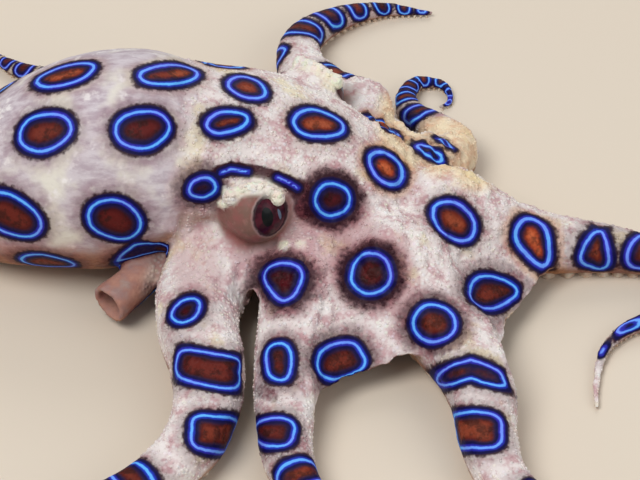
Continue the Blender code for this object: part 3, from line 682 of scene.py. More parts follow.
class View:
    """The picture's camera: where points fall in its pixels and how far away they are."""

    def __init__(self):
        lean = VIEW_ELEVATION
        self.away = np.array([0.0, -math.cos(lean), math.sin(lean)])
        self.right = np.array([1.0, 0.0, 0.0])
        self.up = np.array([0.0, math.sin(lean), math.cos(lean)])
        self.place = VIEW_TARGET + self.away * VIEW_AWAY
        self.focal = PICTURE_WIDE * VIEW_LENS / VIEW_SENSOR

    def pixels(self, points):
        offset = points - self.place
        depth = -offset @ self.away
        x = PICTURE_WIDE / 2 + self.focal * (offset @ self.right) / depth
        y = PICTURE_HIGH / 2 - self.focal * (offset @ self.up) / depth
        return x, y, depth


def read_row(row):
    """A ring's row as its pixel, tilt in radians, shape in millimetres, dark surround and orange share."""
    x, y, long, wide, tilt, *form, halo, tone = row
    return x, y, math.radians(tilt), (long / PIXELS_PER_MM, wide / PIXELS_PER_MM, *form), halo, tone


def shape_level(u, v, long, wide, power, point, bend, phase):
    """1 on a ring's line, less inside: a superellipse, narrowed towards +u, bent, with a slow wobble."""
    bent = v + bend * np.abs(u)
    squeeze = 1.0 - point * np.clip(u / long, -1.0, 1.0)
    level = (np.abs(u / long) ** power + np.abs(bent / (wide * squeeze)) ** power) ** (1.0 / power)
    angle = np.arctan2(bent / wide, u / long)
    wobble = 0.030 * np.sin(2 * angle + phase) + 0.022 * np.sin(3 * angle + 2.3 * phase)
    return level * (1.0 + wobble + 0.013 * np.sin(5 * angle + 4.1 * phase))


def ring_distance(normals, u, v, along_u, along_v, shape, phase):
    """Signed distance in millimetres: (level - 1) over the level's slope along the surface."""
    small = 0.05
    level = shape_level(u, v, *shape, phase)
    slope_u = (shape_level(u + small, v, *shape, phase) - level) / small
    slope_v = (shape_level(u, v + small, *shape, phase) - level) / small
    slope = slope_u[:, None] * along_u + slope_v[:, None] * along_v
    slope = slope - normals * dots(slope, normals)
    return (level - 1.0) / np.maximum(lengths(slope), 0.02)


class Marks:
    """The nearest mark at every point of a surface: signed distance from its blue line and its tones."""

    def __init__(self, points, normals, softer):
        self.points, self.normals = points, normals
        self.view = View()
        self.x, self.y, self.depth = self.view.pixels(points)
        self.facing = (normals @ self.view.away) > 0.02
        self.softer = softer
        self.horizon = (HORIZON - softer @ self.view.away) * HORIZON_RADIUS
        self.ring = np.full(len(points), NO_RING)
        self.tone = np.zeros(len(points))
        self.halo = np.zeros(len(points))
        self.middles = []

    def lay(self, some, distance, tone, halo):
        nearer = distance < self.ring[some]
        some = some[nearer]
        self.ring[some] = distance[nearer]
        self.tone[some] = tone
        self.halo[some] = halo

    def hit(self, x, y):
        """The point of the surface that the camera sees at a pixel."""
        off = np.hypot(self.x - x, self.y - y) + np.where(self.facing, 0.0, 1e6)
        close = np.flatnonzero(off < max(off.min() + 0.1, 4.0))
        return close[np.argmin(self.depth[close])]

    def tilted(self, tilt):
        """The picture's direction at a tilt from right to up, and the one a quarter turn on."""
        right, up = self.view.right, self.view.up
        return right * math.cos(tilt) + up * math.sin(tilt), up * math.cos(tilt) - right * math.sin(tilt)

    def seen(self, row, phase):
        """A ring given by its outline in the picture."""
        x, y, tilt, shape, halo, tone = read_row(row)
        middle = self.points[self.hit(x, y)]
        near = lengths(self.points - middle) < 2.1 * max(shape[:2]) + 2.0
        some = np.flatnonzero(near & (self.horizon < TURNED_MOST))
        right, up = (self.x[some] - x) / PIXELS_PER_MM, (y - self.y[some]) / PIXELS_PER_MM
        u = right * math.cos(tilt) + up * math.sin(tilt)
        v = up * math.cos(tilt) - right * math.sin(tilt)
        distance = ring_distance(self.softer[some], u, v, *self.tilted(tilt), shape, phase)
        self.lay(some, np.maximum(distance, self.horizon[some]), tone, halo)
        self.middles.append(middle)

    def far(self, row, phase, mirror):
        """The mirror image of a seen ring, where it falls on the far side and clear of other rings."""
        x, y, tilt, (long, wide, *form), halo, tone = read_row(row)
        there = mirror(self.points[self.hit(x, y)][None], False)
        at = np.argmin(lengths(self.points - there))
        gaps = lengths(np.array(self.middles) - there)
        if gaps.min() < max(long, wide) + RING_GAP or self.normals[at] @ self.view.away > 0.1:
            return
        first = mirror(self.tilted(tilt)[0][None], True)[0]
        self.flat(self.points[at], self.normals[at], first, (long, max(wide, 0.7 * long), *form), phase,
                  tone, halo)

    def flat(self, middle, normal, first, shape, phase, tone, halo):
        """A ring laid on the skin about a point: u and v are lengths along the tangent plane there."""
        along_u = unit(first - normal * (first @ normal))
        along_v = np.cross(normal, along_u)
        offset = self.points - middle
        near = lengths(offset) < 1.3 * max(shape[:2]) + 2.0
        turned = (TURNED - self.normals @ normal) * HORIZON_RADIUS
        some = np.flatnonzero(near & (turned < TURNED_MOST))
        u, v = offset[some] @ along_u, offset[some] @ along_v
        distance = ring_distance(self.normals[some], u, v, along_u, along_v, shape, phase)
        self.lay(some, np.maximum(distance, turned[some]), tone, halo)
        self.middles.append(middle)

    def grazing(self, row, phase):
        """A ring on skin that turns away from the camera, by its middle's pixel and its real sizes."""
        x, y, tilt, shape, halo, tone = read_row(row)
        at = self.hit(x, y)
        self.flat(self.points[at], self.normals[at], self.tilted(tilt)[0], shape, phase, tone, halo)

    def on_arm(self, places, index, along, shape, phase, tone, halo, middle):
        """A ring wrapped on an arm's back: u runs along the arm and v round it. None where one is near."""
        if lengths(np.array(self.middles) - middle).min() < shape[0] + shape[1] + 0.6:
            return
        off = places.along - along
        mine = (places.index == index) & (places.ratio < 1.8) & (np.abs(off) < shape[0] + 4.0)
        some = np.flatnonzero(mine)
        half = places.half[some]
        angle = np.arctan2(places.left[some], places.over[some] + 0.35 * half)
        heading = places.heading[some]
        around = unit(np.cross(self.normals[some], heading))
        distance = ring_distance(self.normals[some], off[some], angle * half, heading, around, shape, phase)
        distance = np.maximum(distance, (places.ratio[some] - 1.25) * 1.5 * half)
        self.lay(some, distance / np.clip(half / 2.2, 0.5, 1.0), tone, halo)

    def off_line(self, corners):
        """Distance in millimetres from a line through pixels: to the nearest of its straight pieces."""
        corners = np.array(corners, float)
        middle = self.points[self.hit(*corners[len(corners) // 2])]
        reach = np.ptp(corners, axis=0).max() / PIXELS_PER_MM
        near = lengths(self.points - middle) < reach + 5.0
        some = np.flatnonzero(near & self.facing)
        place = np.stack([self.x[some], self.y[some]], axis=1)[:, None]
        start, step = corners[None, :-1], np.diff(corners, axis=0)[None]
        share = np.clip(np.sum((place - start) * step, axis=2) / np.sum(step * step, axis=2), 0.0, 1.0)
        gaps = lengths(place - start - step * share[..., None]).min(axis=1)
        return some, gaps / PIXELS_PER_MM

    def patches(self, rows):
        """Soft patches along lines through pixels, each with a width and a strength."""
        field = np.zeros(len(self.points))
        for corners, wide, strength in rows:
            some, gaps = self.off_line(corners)
            turned = ease((self.normals[some] @ self.view.away) / 0.3)
            field[some] = np.maximum(field[some], strength * turned * ease((2.0 * wide - gaps) / wide))
        return field


def over_mantle(vectors, turning):
    """The mirror image across the mantle's upright middle plane."""
    return vectors * np.array([1.0, -1.0, 1.0])


def over_head(vectors, turning):
    """The mirror image across the head's own upright middle plane."""
    offset = vectors if turning else vectors - EYE_MIDDLE
    flipped = offset - 2.0 * (offset @ HEAD_LEFT)[:, None] * HEAD_LEFT
    return flipped if turning else flipped + EYE_MIDDLE


def lay_rings(points, normals, softer, arms, places):
    """Every mark of the animal: those seen, their mirror images, and rows along the arms."""
    marks = Marks(points, normals, softer)
    dice = np.random.default_rng(SETTLE_SEED)

    def phase():
        return dice.uniform(0.0, math.tau)

    for row in SEEN_RINGS:
        marks.seen(row, phase())
    for row in GRAZING_RINGS:
        marks.grazing(row, phase())
    for middle, long, high, sides in FLANK_RINGS:
        for side in sides:
            at = np.argmin(lengths(points - np.array(middle) * (1, side, 1)))
            marks.flat(points[at], normals[at], np.eye(3)[0], (long, high, 2.0, 0.0, 0.0), phase(), 0.2, 0.5)
    for mirror, numbers in ((over_mantle, MIRRORED_MANTLE), (over_head, MIRRORED_HEAD)):
        for k in numbers:
            marks.far(SEEN_RINGS[k], phase(), mirror)
    for corners in STROKES:
        some, gaps = marks.off_line(corners)
        marks.lay(some, gaps * 1.3, 0.3, 0.2)
    for k, (name, arm) in enumerate(arms.items()):
        along, pitch_share = ARM_RINGS[name]
        while along < LAST_RINGS.get(name, arm.length - 1.2):
            half = float(arm.half_width(along))
            pitch = pitch_share * half + 1.2
            thin = 1.0 - half / arm.girth
            shape = (0.30 * pitch, (0.85 + 0.5 * thin) * half, 2.6, 0.0, 0.0)
            middle = arm.at(np.array([along]), 0.0, 1.0)[0]
            marks.on_arm(places, k, along, shape, phase(), dice.uniform(0.05, 0.45), 0.3, middle)
            along += pitch * dice.uniform(0.92, 1.08)
    return marks


def eye_fields(points, side):
    """Round one eye: 1 on its smooth lid, on its brow's pale arch and beads, and on the opening's rim, where
    shade is painted in the crease.
    """
    mound, _, axis = eye_frame(side)
    upward, _ = frame_about(axis)
    offset = points - mound
    out = offset @ axis
    round_axis = lengths(offset - out[:, None] * axis)
    height = offset @ upward
    front = ease((out + 0.5) / 1.5)
    over = ease((height - 1.6) / 0.8) * ease((round_axis - 2.9) / 0.6)
    lid = front * ease((5.7 - round_axis) / 1.6) * (1.0 - over)
    arch = ease((round_axis - 2.8) / 0.5) * ease((4.8 - round_axis) / 0.6)
    pearl = 0.42 * front * arch * ease((height - 2.0) / 0.8)
    for middle, size in brow_beads(side):
        gap = lengths(points - middle)
        pearl = np.maximum(pearl, BEAD_PALE * ease((1.6 * size - gap) / (0.7 * size)))
    away = points - globe_middle(side)
    gap = oval_gap(looking(away, side), IRIS_WAY, OPENING_HALF)
    close = lengths(away) < GLOBE_RADIUS + 0.6
    return lid, pearl, ease((0.42 - gap) / 0.36) * close


def skin_fields(points, normals, softer, arms):
    """All colour fields of the skin as one number a point: rings, region, undersides and brow."""
    places = ArmPlaces(points, arms)
    marks = lay_rings(points, normals, softer, arms, places)
    on_arm = ease((1.5 - places.ratio) / 0.3)
    zone = np.maximum(ease((points[:, 0] + 19.5) / 6.0), on_arm * ease((places.along + 1.0) / 3.0))
    under = ease((-normals[:, 2] - 0.05) / 0.4)
    # Painted shade: the mantle's flank grows pinker and darker towards the floor, stored with the pink
    # patches.
    flush = 0.8 * ease((13.0 - points[:, 2]) / 6.0) * (1.0 - zone)
    flank = on_arm * ease((-places.over / places.half - 0.1) / 0.35)
    lid, pearl, rim = (np.maximum(*pair) for pair in zip(eye_fields(points, -1), eye_fields(points, 1)))
    pearl = np.maximum(pearl, marks.patches(PALE_PATCHES))
    # Painted shade in the crease round each eye's opening joins the dark patches.
    dark = np.maximum(marks.patches(DARK_PATCHES) * (1.0 - pearl), rim)
    route = smooth_line(SIPHON_ROUTE, 5)
    box = np.flatnonzero(lengths(points - route[8, :3]) < 14.0)
    gaps = lengths(points[box, None] - route[None, 6:, :3]).min(axis=1)
    under[box] = np.maximum(under[box], 0.65 * ease((3.9 - gaps) / 1.0))
    return {
        "ring": marks.ring, "tone": marks.tone, "halo": marks.halo, "zone": zone, "lid": lid,
        "under": np.maximum.reduce([under, flank, marks.patches(BROWN_PATCHES)]),
        "sandy": marks.patches(SANDY_PATCHES), "rosy": np.maximum(marks.patches(ROSY_PATCHES), flush),
        "bead": pearl, "dark": dark,
    }


FIELDS = ("ring", "tone", "halo", "zone", "under", "sandy", "rosy", "lid", "dark", "bead")


def put_fields(mesh, fields):
    """Writes fields into a mesh as point attributes that the materials read."""
    for name, values in fields.items():
        layer = mesh.attributes.new(name, "FLOAT", "POINT")
        layer.data.foreach_set("value", np.asarray(values, np.float32))


def read_field(mesh, name):
    """A field read back from a mesh."""
    values = np.empty(len(mesh.vertices), np.float32)
    mesh.attributes[name].data.foreach_get("value", values)
    return values


class Wire:
    """A number, colour or vector in a material's nodes, with arithmetic written as in Python."""

    def __init__(self, tree, socket=None):
        self.tree, self.socket = tree, socket

    def make(self, kind, settings=None, inputs=None, output=0):
        """Adds a node of a type: its settings are set first, then its sockets' values or links."""
        node = self.tree.nodes.new(kind)
        node.location = (len(self.tree.nodes) % 14 * 180, -(len(self.tree.nodes) // 14) * 260)
        for name, value in (settings or {}).items():
            setattr(node, name, value)
        for key, value in (inputs or {}).items():
            if isinstance(value, Wire):
                self.tree.links.new(value.socket, node.inputs[key])
            else:
                node.inputs[key].default_value = value
        return Wire(self.tree, node.outputs[output])

    def maths(self, operation, first, second=0.0):
        return self.make("ShaderNodeMath", {"operation": operation}, {0: first, 1: second})

    def __add__(self, other):
        return self.maths("ADD", self, other)

    def __sub__(self, other):
        return self.maths("SUBTRACT", self, other)

    def __rsub__(self, other):
        return self.maths("SUBTRACT", other, self)

    def __mul__(self, other):
        return self.maths("MULTIPLY", self, other)

    def __abs__(self):
        return self.maths("ABSOLUTE", self)

    __radd__ = __add__
    __rmul__ = __mul__

    def most(self, other):
        return self.maths("MAXIMUM", self, other)

    def step(self, low, high):
        """0 at low, 1 at high and smooth between; low may be the larger."""
        return self.make("ShaderNodeMapRange", {"interpolation_type": "SMOOTHSTEP"},
                         {"Value": self, "From Min": low, "From Max": high})

    def mix(self, first, second):
        """The first colour where this is 0 and the second where it is 1; either may be a pigment."""
        return self.blend(self, first, second)

    def blend(self, share, first, second):
        """A colour between two by a share."""
        return self.make("ShaderNodeMix", {"data_type": "RGBA", "blend_type": "MIX"},
                         {0: share, 6: paint(first), 7: paint(second)}, 2)

    def field(self, name):
        return self.make("ShaderNodeAttribute", {"attribute_name": name}, None, "Fac")

    def place(self, scale=(1.0, 1.0, 1.0)):
        """Object coordinates in millimetres, stretched along each axis by a share."""
        coords = self.make("ShaderNodeTexCoord", None, None, "Object")
        size = tuple(share / MM for share in scale)
        return self.make("ShaderNodeMapping", None, {"Vector": coords, "Scale": size})

    def noise(self, place, size, detail=2.0, rough=0.5):
        """A cloudy value from 0 to 1 with lumps of a size in millimetres."""
        return self.make("ShaderNodeTexNoise", None,
                         {"Vector": place, "Scale": 1.0 / size, "Detail": detail, "Roughness": rough})

    def cells(self, place, size, output="Distance"):
        """Voronoi cells of a size in millimetres: the distance to the middle, or a colour a cell."""
        return self.make("ShaderNodeTexVoronoi", {"feature": "F1"},
                         {"Vector": place, "Scale": 1.0 / size}, output)


def linear(colour):
    """A colour given as 0 to 255 sRGB levels, as the linear values that shaders use."""
    levels = [level / 255.0 for level in colour]
    return tuple(v / 12.92 if v < 0.04045 else ((v + 0.055) / 1.055) ** 2.4 for v in levels) + (1.0,)


# Fixed colours, as 0 to 255 levels: most are the animal's own, some are painted light as noted. The others
# are settings of the pieces.
PIGMENTS = {
    "grey lilac": (178, 162, 170), "bone": (222, 216, 204), "milk": (234, 228, 226),
    "dusty rose": (196, 160, 162), "cream": (228, 216, 188), "mauve": (188, 140, 146),
    # flush on the next line also paints shade low on the mantle's flank.
    "granule": (250, 246, 240), "flush": (176, 118, 122), "sand": (226, 186, 132),
    # stain on the next line paints the brow's dark band and also shade round the eyes.
    "pale sand": (236, 212, 160), "tan": (176, 126, 88), "dark_mark_and_shade": (36, 0, 16), "pearl": (240, 234, 214),
    "halo": (148, 76, 84), "amber": (206, 140, 88), "surround": (34, 0, 18), "maroon": (50, 0, 14),
    "rust": (148, 52, 24), "deep maroon": (76, 6, 16), "orange": (206, 104, 62), "mottle": (16, 10, 8),
    "ultramarine": (26, 52, 176), "violet": (44, 38, 168), "lavender blue": (112, 146, 250),
    "lid": (140, 88, 84), "lid shade": (122, 92, 82), "lid light": (166, 122, 114),
    "sucker shade": (206, 176, 150), "sucker cup": (150, 96, 74), "globe shade": (112, 62, 62),
    # On the next line, slate is a painted highlight and globe below is painted shade.
    "globe_painted_shade_below": (124, 92, 74), "iris light": (74, 18, 34), "painted_highlight_grey": (96, 112, 132),
    "pupil": (3, 7, 9), "horn": (16, 9, 7), "horn light": (58, 34, 22), "floor cloud": (214, 206, 194),
}


def paint(colour):
    """A colour for a socket: wires and linear colours as they are, pigments and levels made linear."""
    if isinstance(colour, str):
        return linear(PIGMENTS[colour])
    return colour if isinstance(colour, Wire) or len(colour) == 4 else linear(colour)


def fresh_material(name, roughness, coat, coat_roughness, subsurface=0.0):
    """A new material with its constant values set, its node tree's wire and its shader."""
    material = bpy.data.materials.new(name)
    material.use_nodes = True
    shader = material.node_tree.nodes["Principled BSDF"]
    shader.inputs["Roughness"].default_value = roughness
    shader.inputs["Coat Weight"].default_value = coat
    shader.inputs["Coat Roughness"].default_value = coat_roughness
    shader.inputs["Subsurface Weight"].default_value = subsurface
    shader.inputs["Subsurface Radius"].default_value = (1.0, 0.4, 0.3)
    shader.inputs["Subsurface Scale"].default_value = 0.6 * MM
    return material, Wire(material.node_tree), shader


def feed(wire, shader, socket, value):
    wire.tree.links.new(value.socket, shader.inputs[socket])


def bumped(wire, shader, height, strength, deep):
    """Feeds a bump of a height from 0 to about 1, as deep as given in millimetres."""
    feed(wire, shader, "Normal", wire.make("ShaderNodeBump", None, {
        "Strength": strength, "Distance": deep * MM, "Height": height}))


def skin_material(look):
    """Living skin: streaked mantle, granular head and arms, tan undersides and the blue rings."""
    material, wire, shader = fresh_material("octopus_skin", 0.5, 0.0, 0.25)
    shader.inputs["Specular IOR Level"].default_value = 0.14
    place = wire.place()
    fine = wire.noise(place, 0.7, 3.0)
    broad = wire.noise(place, 5.5, 3.0)
    blotch = wire.noise(place, 2.2, 3.0, 0.6)
    streak = wire.noise(wire.place((0.35, 1.0, 1.0)), 1.1, 4.0, 0.6)
    grain = wire.cells(place, GRAIN)
    speck = wire.cells(place, GRAIN, "Color")
    zone, bead = wire.field("zone"), wire.field("bead")
    ring = wire.field("ring") + (fine - 0.5) * 0.2 + (blotch - 0.5) * 0.22
    halo, lid = wire.field("halo"), wire.field("lid")
    away = abs(ring)

    mantle = streak.step(0.36, 0.64).mix("grey lilac", look.mantle)
    mantle = broad.step(0.48, 0.68).mix(mantle, "bone")
    mantle = blotch.step(0.54, 0.72).mix(mantle, "milk")
    granules = grain.step(0.52, 0.2)
    ground = blotch.step(0.33, 0.58).mix("dusty rose", look.head)
    ground = broad.step(0.56, 0.7).mix(ground, "cream")
    ground = (fine.step(0.60, 0.72) * 0.45).mix(ground, "mauve")
    tinted = wire.blend(0.14, "granule", speck)
    colour = zone.mix(mantle, (granules * 0.5).mix(ground, tinted))
    # Pink patches, with painted shade low on the mantle's flank, in the flush colour.
    colour = (wire.field("rosy") * blotch.step(0.2, 0.6)).mix(colour, "flush")
    colour = (wire.field("sandy") * 0.9).mix(colour, blotch.step(0.35, 0.65).mix("sand", "pale sand"))
    colour = (wire.field("under") * 0.9).mix(colour, blotch.step(0.3, 0.7).mix(look.under, "tan"))
    # Dark marks and painted shade: the brow's band, shade under the brow and in the crease round each eye.
    dark_mark_and_shade = (wire.field("dark") + (fine - 0.5) * 0.5 * wire.field("dark")).step(0.25, 0.8)
    colour = (dark_mark_and_shade * 0.96).mix(colour, "dark_mark_and_shade")
    colour = (lid * (1.0 - dark_mark_and_shade)).mix(colour, clouded_lid(blotch, fine))
    colour = ringed(wire, look, colour, ring, halo, (fine, blotch, broad))
    pearl = wire.blend(0.12, "pearl", speck)
    colour = (bead * away.step(0.6, 1.4) * 0.9).mix(colour, pearl)
    feed(wire, shader, "Base Color", colour)

    feed(wire, shader, "Roughness", 0.44 + 0.2 * fine + 0.1 * granules - 0.12 * lid)
    flesh = away.step(0.4, 1.6) * (1.0 - lid)
    height = grain.step(0.6, 0.0) * (0.25 + 0.75 * zone) * flesh + 0.5 * fine + 0.6 * blotch
    bumped(wire, shader, height, 0.5, 0.22)
    return material


def ringed(wire, look, colour, ring, halo, clouds):
    """The rings over a ground: maroon surround, black navy, blue line with a bright core, dark middle."""
    fine, blotch, broad = clouds
    tone = wire.field("tone")
    ragged = ring - (fine - 0.5) * 1.2
    flush = (ring - (blotch - 0.5) * 1.8).step(3.7, 1.4) * halo
    colour = (flush * 0.72).mix(colour, "halo")
    amber = (ring - (blotch - 0.5) * 1.6).step(2.4, 1.2) * tone.step(0.35, 0.8)
    colour = (amber * 0.45).mix(colour, "amber")
    wide = (ring - (blotch - 0.5) * 1.5 - (fine - 0.5) * 2.4).step(2.9, 1.1) * halo
    colour = (ragged.step(1.6, 0.9).most(wide) * 0.96).mix(colour, "surround")
    middle = ring.step(-1.1, -2.1).mix(tone.mix("maroon", "rust"), tone.mix("deep maroon", "orange"))
    mottle = wire.noise(wire.place(), 1.5, 3.0, 0.65).step(0.44, 0.62)
    middle = (mottle * 0.6).mix(middle, "mottle")
    colour = ring.step(-0.6, -1.4).mix(colour, middle)
    navy = ring.step(1.05, 0.7) * ring.step(-1.35, -0.6)
    colour = navy.mix(colour, look.navy)
    variation = broad.step(0.35, 0.65)
    thin = abs(ring) - 0.08 * tone
    colour = thin.step(0.58, 0.22).mix(colour, variation.mix("ultramarine", "violet"))
    return thin.step(0.24, 0.06).mix(colour, variation.mix(look.blue, "lavender blue"))


def clouded_lid(blotch, fine):
    """The smooth skin round the globe: pinkish brown, greyer in clouds."""
    ground = blotch.step(0.35, 0.65).mix("lid", "lid shade")
    return (fine.step(0.55, 0.7) * 0.3).mix(ground, "lid light")


def sucker_material(look):
    """Suckers: pale, smooth and moist, browner inside the cup."""
    material, wire, shader = fresh_material("octopus_suckers", 0.4, 0.3, 0.2, 0.15)
    place = wire.place()
    mottled = wire.noise(place, 0.8, 3.0).step(0.35, 0.65).mix(look.sucker, "sucker shade")
    feed(wire, shader, "Base Color", wire.field("cup").mix(mottled, "sucker cup"))
    feed(wire, shader, "Roughness", 0.35 + 0.2 * wire.noise(place, 0.5))
    bumped(wire, shader, wire.noise(place, 0.35, 2.0), 0.3, 0.1)
    return material


def eye_material(look):
    """The eye: a wet pinkish-brown globe with painted shade on its lower part, a dark maroon iris and a
    black pupil with a painted slate-grey highlight beside it.
    """
    material, wire, shader = fresh_material("octopus_eye", 0.4, 0.12, 0.1)
    shader.inputs["Specular IOR Level"].default_value = 0.15
    clouds = wire.noise(wire.place(), 1.2, 3.0)
    globe = clouds.step(0.35, 0.65).mix(look.globe, "globe shade")
    # Painted shade: the lower part of the globe is browner and darker.
    globe = wire.field("lower").mix(globe, "globe_painted_shade_below")
    iris = clouds.step(0.4, 0.6).mix(look.iris, "iris light")
    colour = (wire.field("iris") + (clouds - 0.5) * 0.3).step(0.12, -0.12).mix(globe, iris)
    # Painted highlight: a slate-grey glint beside the pupil.
    colour = wire.field("glint").step(0.12, -0.1).mix(colour, "painted_highlight_grey")
    colour = wire.field("pupil").step(0.06, -0.06).mix(colour, "pupil")
    feed(wire, shader, "Base Color", colour)
    feed(wire, shader, "Roughness", 0.3 + 0.2 * clouds)
    return material


def beak_material():
    """Horn: dark brown to black, a little polished."""
    material, wire, shader = fresh_material("octopus_beak", 0.3, 0.4, 0.15)
    streaks = wire.noise(wire.place((1.0, 1.0, 0.3)), 0.5, 3.0)
    feed(wire, shader, "Base Color", streaks.mix("horn", "horn light"))
    feed(wire, shader, "Roughness", 0.25 + 0.2 * streaks)
    return material


def floor_material(colour):
    """A plain pale matt floor with the faintest cloud in it."""
    material, wire, shader = fresh_material("studio_floor", 0.8, 0.0, 0.5)
    clouds = wire.noise(wire.place(), 40.0, 2.0)
    feed(wire, shader, "Base Color", (clouds * 0.2).mix((*colour, 1.0), "floor cloud"))
    return material


def shown(name, mesh, material):
    """A finished piece in the model's frame that rides on the body."""
    values = (read_points(mesh) + SHIFT) * MM
    mesh.vertices.foreach_set("co", values.astype(np.float32).ravel())
    mesh.materials.clear()
    mesh.materials.append(material)
    mesh.shade_smooth()
    mesh.update()
    thing = bpy.data.objects.new(name, mesh)
    bpy.context.scene.collection.objects.link(thing)
    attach(thing, "root")
    return thing


def flesh_nodes():
    """Every CAD node of flesh: all but the two eyes."""
    return sorted(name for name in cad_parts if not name.startswith("eye"))


def all_arms():
    return {name: Arm(name) for name in ARMS}


def flesh_forms(arms):
    """The closed forms whose union is the body's flesh."""
    forms = [mantle_form(), head_form(), crown_form(), siphon_form(), *eye_forms(), lip_form()]
    forms += [arm_form(arm) for arm in arms.values()]
    forms += [web_form(arms[a], arms[b], reaches) for (a, b), reaches in WEBS.items()]
    return forms


def mended(field, edges, jump=1.3, most=4.5):
    """A field softened where it jumps between neighbours, and left alone elsewhere."""
    field = np.minimum(field, most)
    torn = np.zeros(len(field))
    torn[edges[np.abs(field[edges[:, 0]] - field[edges[:, 1]]) > jump]] = 1.0
    near = relax(torn[:, None], edges, np.array([1.0]), 4)[:, 0]
    return relax(field[:, None], edges, 0.5 * ease(near / 0.15), 10)[:, 0]


def settle(mesh, arms):
    """Softens the joins between forms, raises the living unevenness and keeps all above the floor."""
    points, edges = read_points(mesh), read_edges(mesh)
    from_mouth = lengths(points[:, :2])
    strength = 0.10 + 0.5 * ease((SOFT_REACH - from_mouth) / 9.0) * ease((SOFT_TOP - points[:, 2]) / 3.0)
    strength += 0.25 * ease((4.0 - np.abs(points[:, 0] + 16.5)) / 3.0)
    strength = np.maximum(strength, 0.45 * np.maximum(near_seats(points, arms), near_rims(points, arms)))
    for side in (-1, 1):
        mound, _, axis = eye_frame(side)
        offset = points - mound
        gap = lengths(offset)
        strength *= 1.0 - 0.94 * ease((EYE_KEPT - gap) / 1.5) * ease((offset @ axis + 0.5) / 2.0)
    points = relax(points, edges, strength, SETTLE_ROUNDS)
    open_lids(points)
    mesh.vertices.foreach_set("co", points.astype(np.float32).ravel())
    mesh.update()
    normals = read_points(mesh, "vertex_normals", "vector")
    x = points[:, 0]
    zone = ease((x + 18.0) / 3.0)
    lumps = (0.05 + 0.07 * zone) * waves(points, *FINE_LUMPS) + 0.10 * waves(points, *BROAD_LUMPS)
    low = ease((0.25 - normals[:, 2]) / 0.8)
    groove = GROOVE_DEPTH * np.exp(-((x - MANTLE_EDGE) / GROOVE_WIDTH) ** 2) * ease((low - 0.2) / 0.5)
    groove *= ease((14.5 - np.abs(points[:, 1])) / 1.5)
    points += normals * (lumps * strength.clip(0.03, 0.6) / 0.35 - groove)[:, None]
    points[:, 2] = np.maximum(points[:, 2], 0.0)
    mesh.vertices.foreach_set("co", points.astype(np.float32).ravel())
    mesh.update()


def scattered(points, allowed, cell, seed):
    """Indexes of points about one cell apart: the first that falls in each cell of a lattice."""
    dice = np.random.default_rng(seed)
    order = dice.permutation(np.flatnonzero(allowed))
    keys = np.floor(points[order] / cell).astype(np.int64)
    keys = keys[:, 0] * 1000003 + keys[:, 1] * 1009 + keys[:, 2]
    _, first = np.unique(keys, return_index=True)
    return order[first]


def frames_on(normals, seed):
    """For each normal, two unit vectors square to it, turned at random about it."""
    dice = np.random.default_rng(seed)
    first = unit(np.cross(normals, unit(dice.normal(size=normals.shape))))
    return first, np.cross(normals, first)


def repeated(pattern, count, each, first=0):
    """Faces of many equal shapes in turn, from one shape's faces and its number of points."""
    bases = (np.arange(count) * each)[:, None] + first
    faces = []
    for face in pattern:
        faces.extend((bases + np.array(face)[None]).tolist())
    return faces


def domes(points, normals, sizes, tall, sides=5):
    """Small closed domes on a surface: rings of a bead's profile about each normal, one cap below."""
    profile = np.array([(0.95, -0.5), (1.0, 0.1), (0.66, 0.62)])
    out = rounds(*frames_on(normals, SETTLE_SEED), sides)
    rings = [points[:, None] + sizes[:, None, None] * (out * radius + normals[:, None] * height * tall)
             for radius, height in profile]
    tops = points[:, None] + (sizes * 0.82 * tall)[:, None, None] * normals[:, None]
    verts = np.concatenate([*rings, tops], axis=1)
    each = verts.shape[1]
    last = (len(profile) - 1) * sides
    fan = [(last + k, last + (k + 1) % sides, each - 1) for k in range(sides)]
    pattern = [*grid_faces(len(profile), sides).tolist(), *fan, list(range(sides))[::-1]]
    return verts.reshape(-1, 3), repeated(pattern, len(points), each), each


def sucker_rows(arm, share, sides):
    """Two rows of cups under an arm: rings of a sucker's profile about each one's downward axis.

    Gives their points as (sucker, point, 3), one sucker's faces, and how far each point is in its cup.
    """
    along, turns = [], []
    at, side = 1.8, 1
    while at < arm.length - 0.5:
        along.append(at)
        turns.append(side)
        at += max(1.12 * share * float(arm.half_width(at)), 0.42)
        side = -side
    along, turns = np.array(along), np.array(turns, float)
    half = arm.half_width(along)
    radius = share * half
    point, heading = arm.places(along)
    plan = point + leftward(heading) * (turns * 0.40 * half)[:, None]
    slope = arm.sole(along + 0.5) - arm.sole(along - 0.5)
    sole, stand = arm.sole(along), arm.stand(along)
    down = unit(np.column_stack([heading * slope[:, None], -np.ones(len(along))]))
    rim = np.column_stack([plan, sole]) + down * stand[:, None]
    flat = rim[:, 2] < radius * np.abs(slope) + 0.02
    down[flat] = (0.0, 0.0, -1.0)
    rim[flat, 2] = 0.02
    ahead = np.column_stack([heading, np.zeros(len(along))])
    ahead = unit(ahead - down * dots(ahead, down))
    out = rounds(ahead, np.cross(down, ahead), sides)
    tall = stand + 0.35 * half
    cups = [cup for _, _, cup in SUCKER_PROFILE]
    rings = []
    for k, (wide, up, _) in enumerate(SUCKER_PROFILE):
        lift = up * tall if k == 0 else up * np.minimum(stand + 0.3 * radius, tall)
        rings.append(rim[:, None] + out * (radius * wide)[:, None, None]
                     - down[:, None] * lift[:, None, None])
    verts = np.concatenate(rings, axis=1)
    each = verts.shape[1]
    pattern = [*grid_faces(len(SUCKER_PROFILE), sides).tolist(), list(range(sides))[::-1],
               list(range(each - sides, each))]
    return verts, pattern, np.tile(np.repeat(cups, sides), len(along))


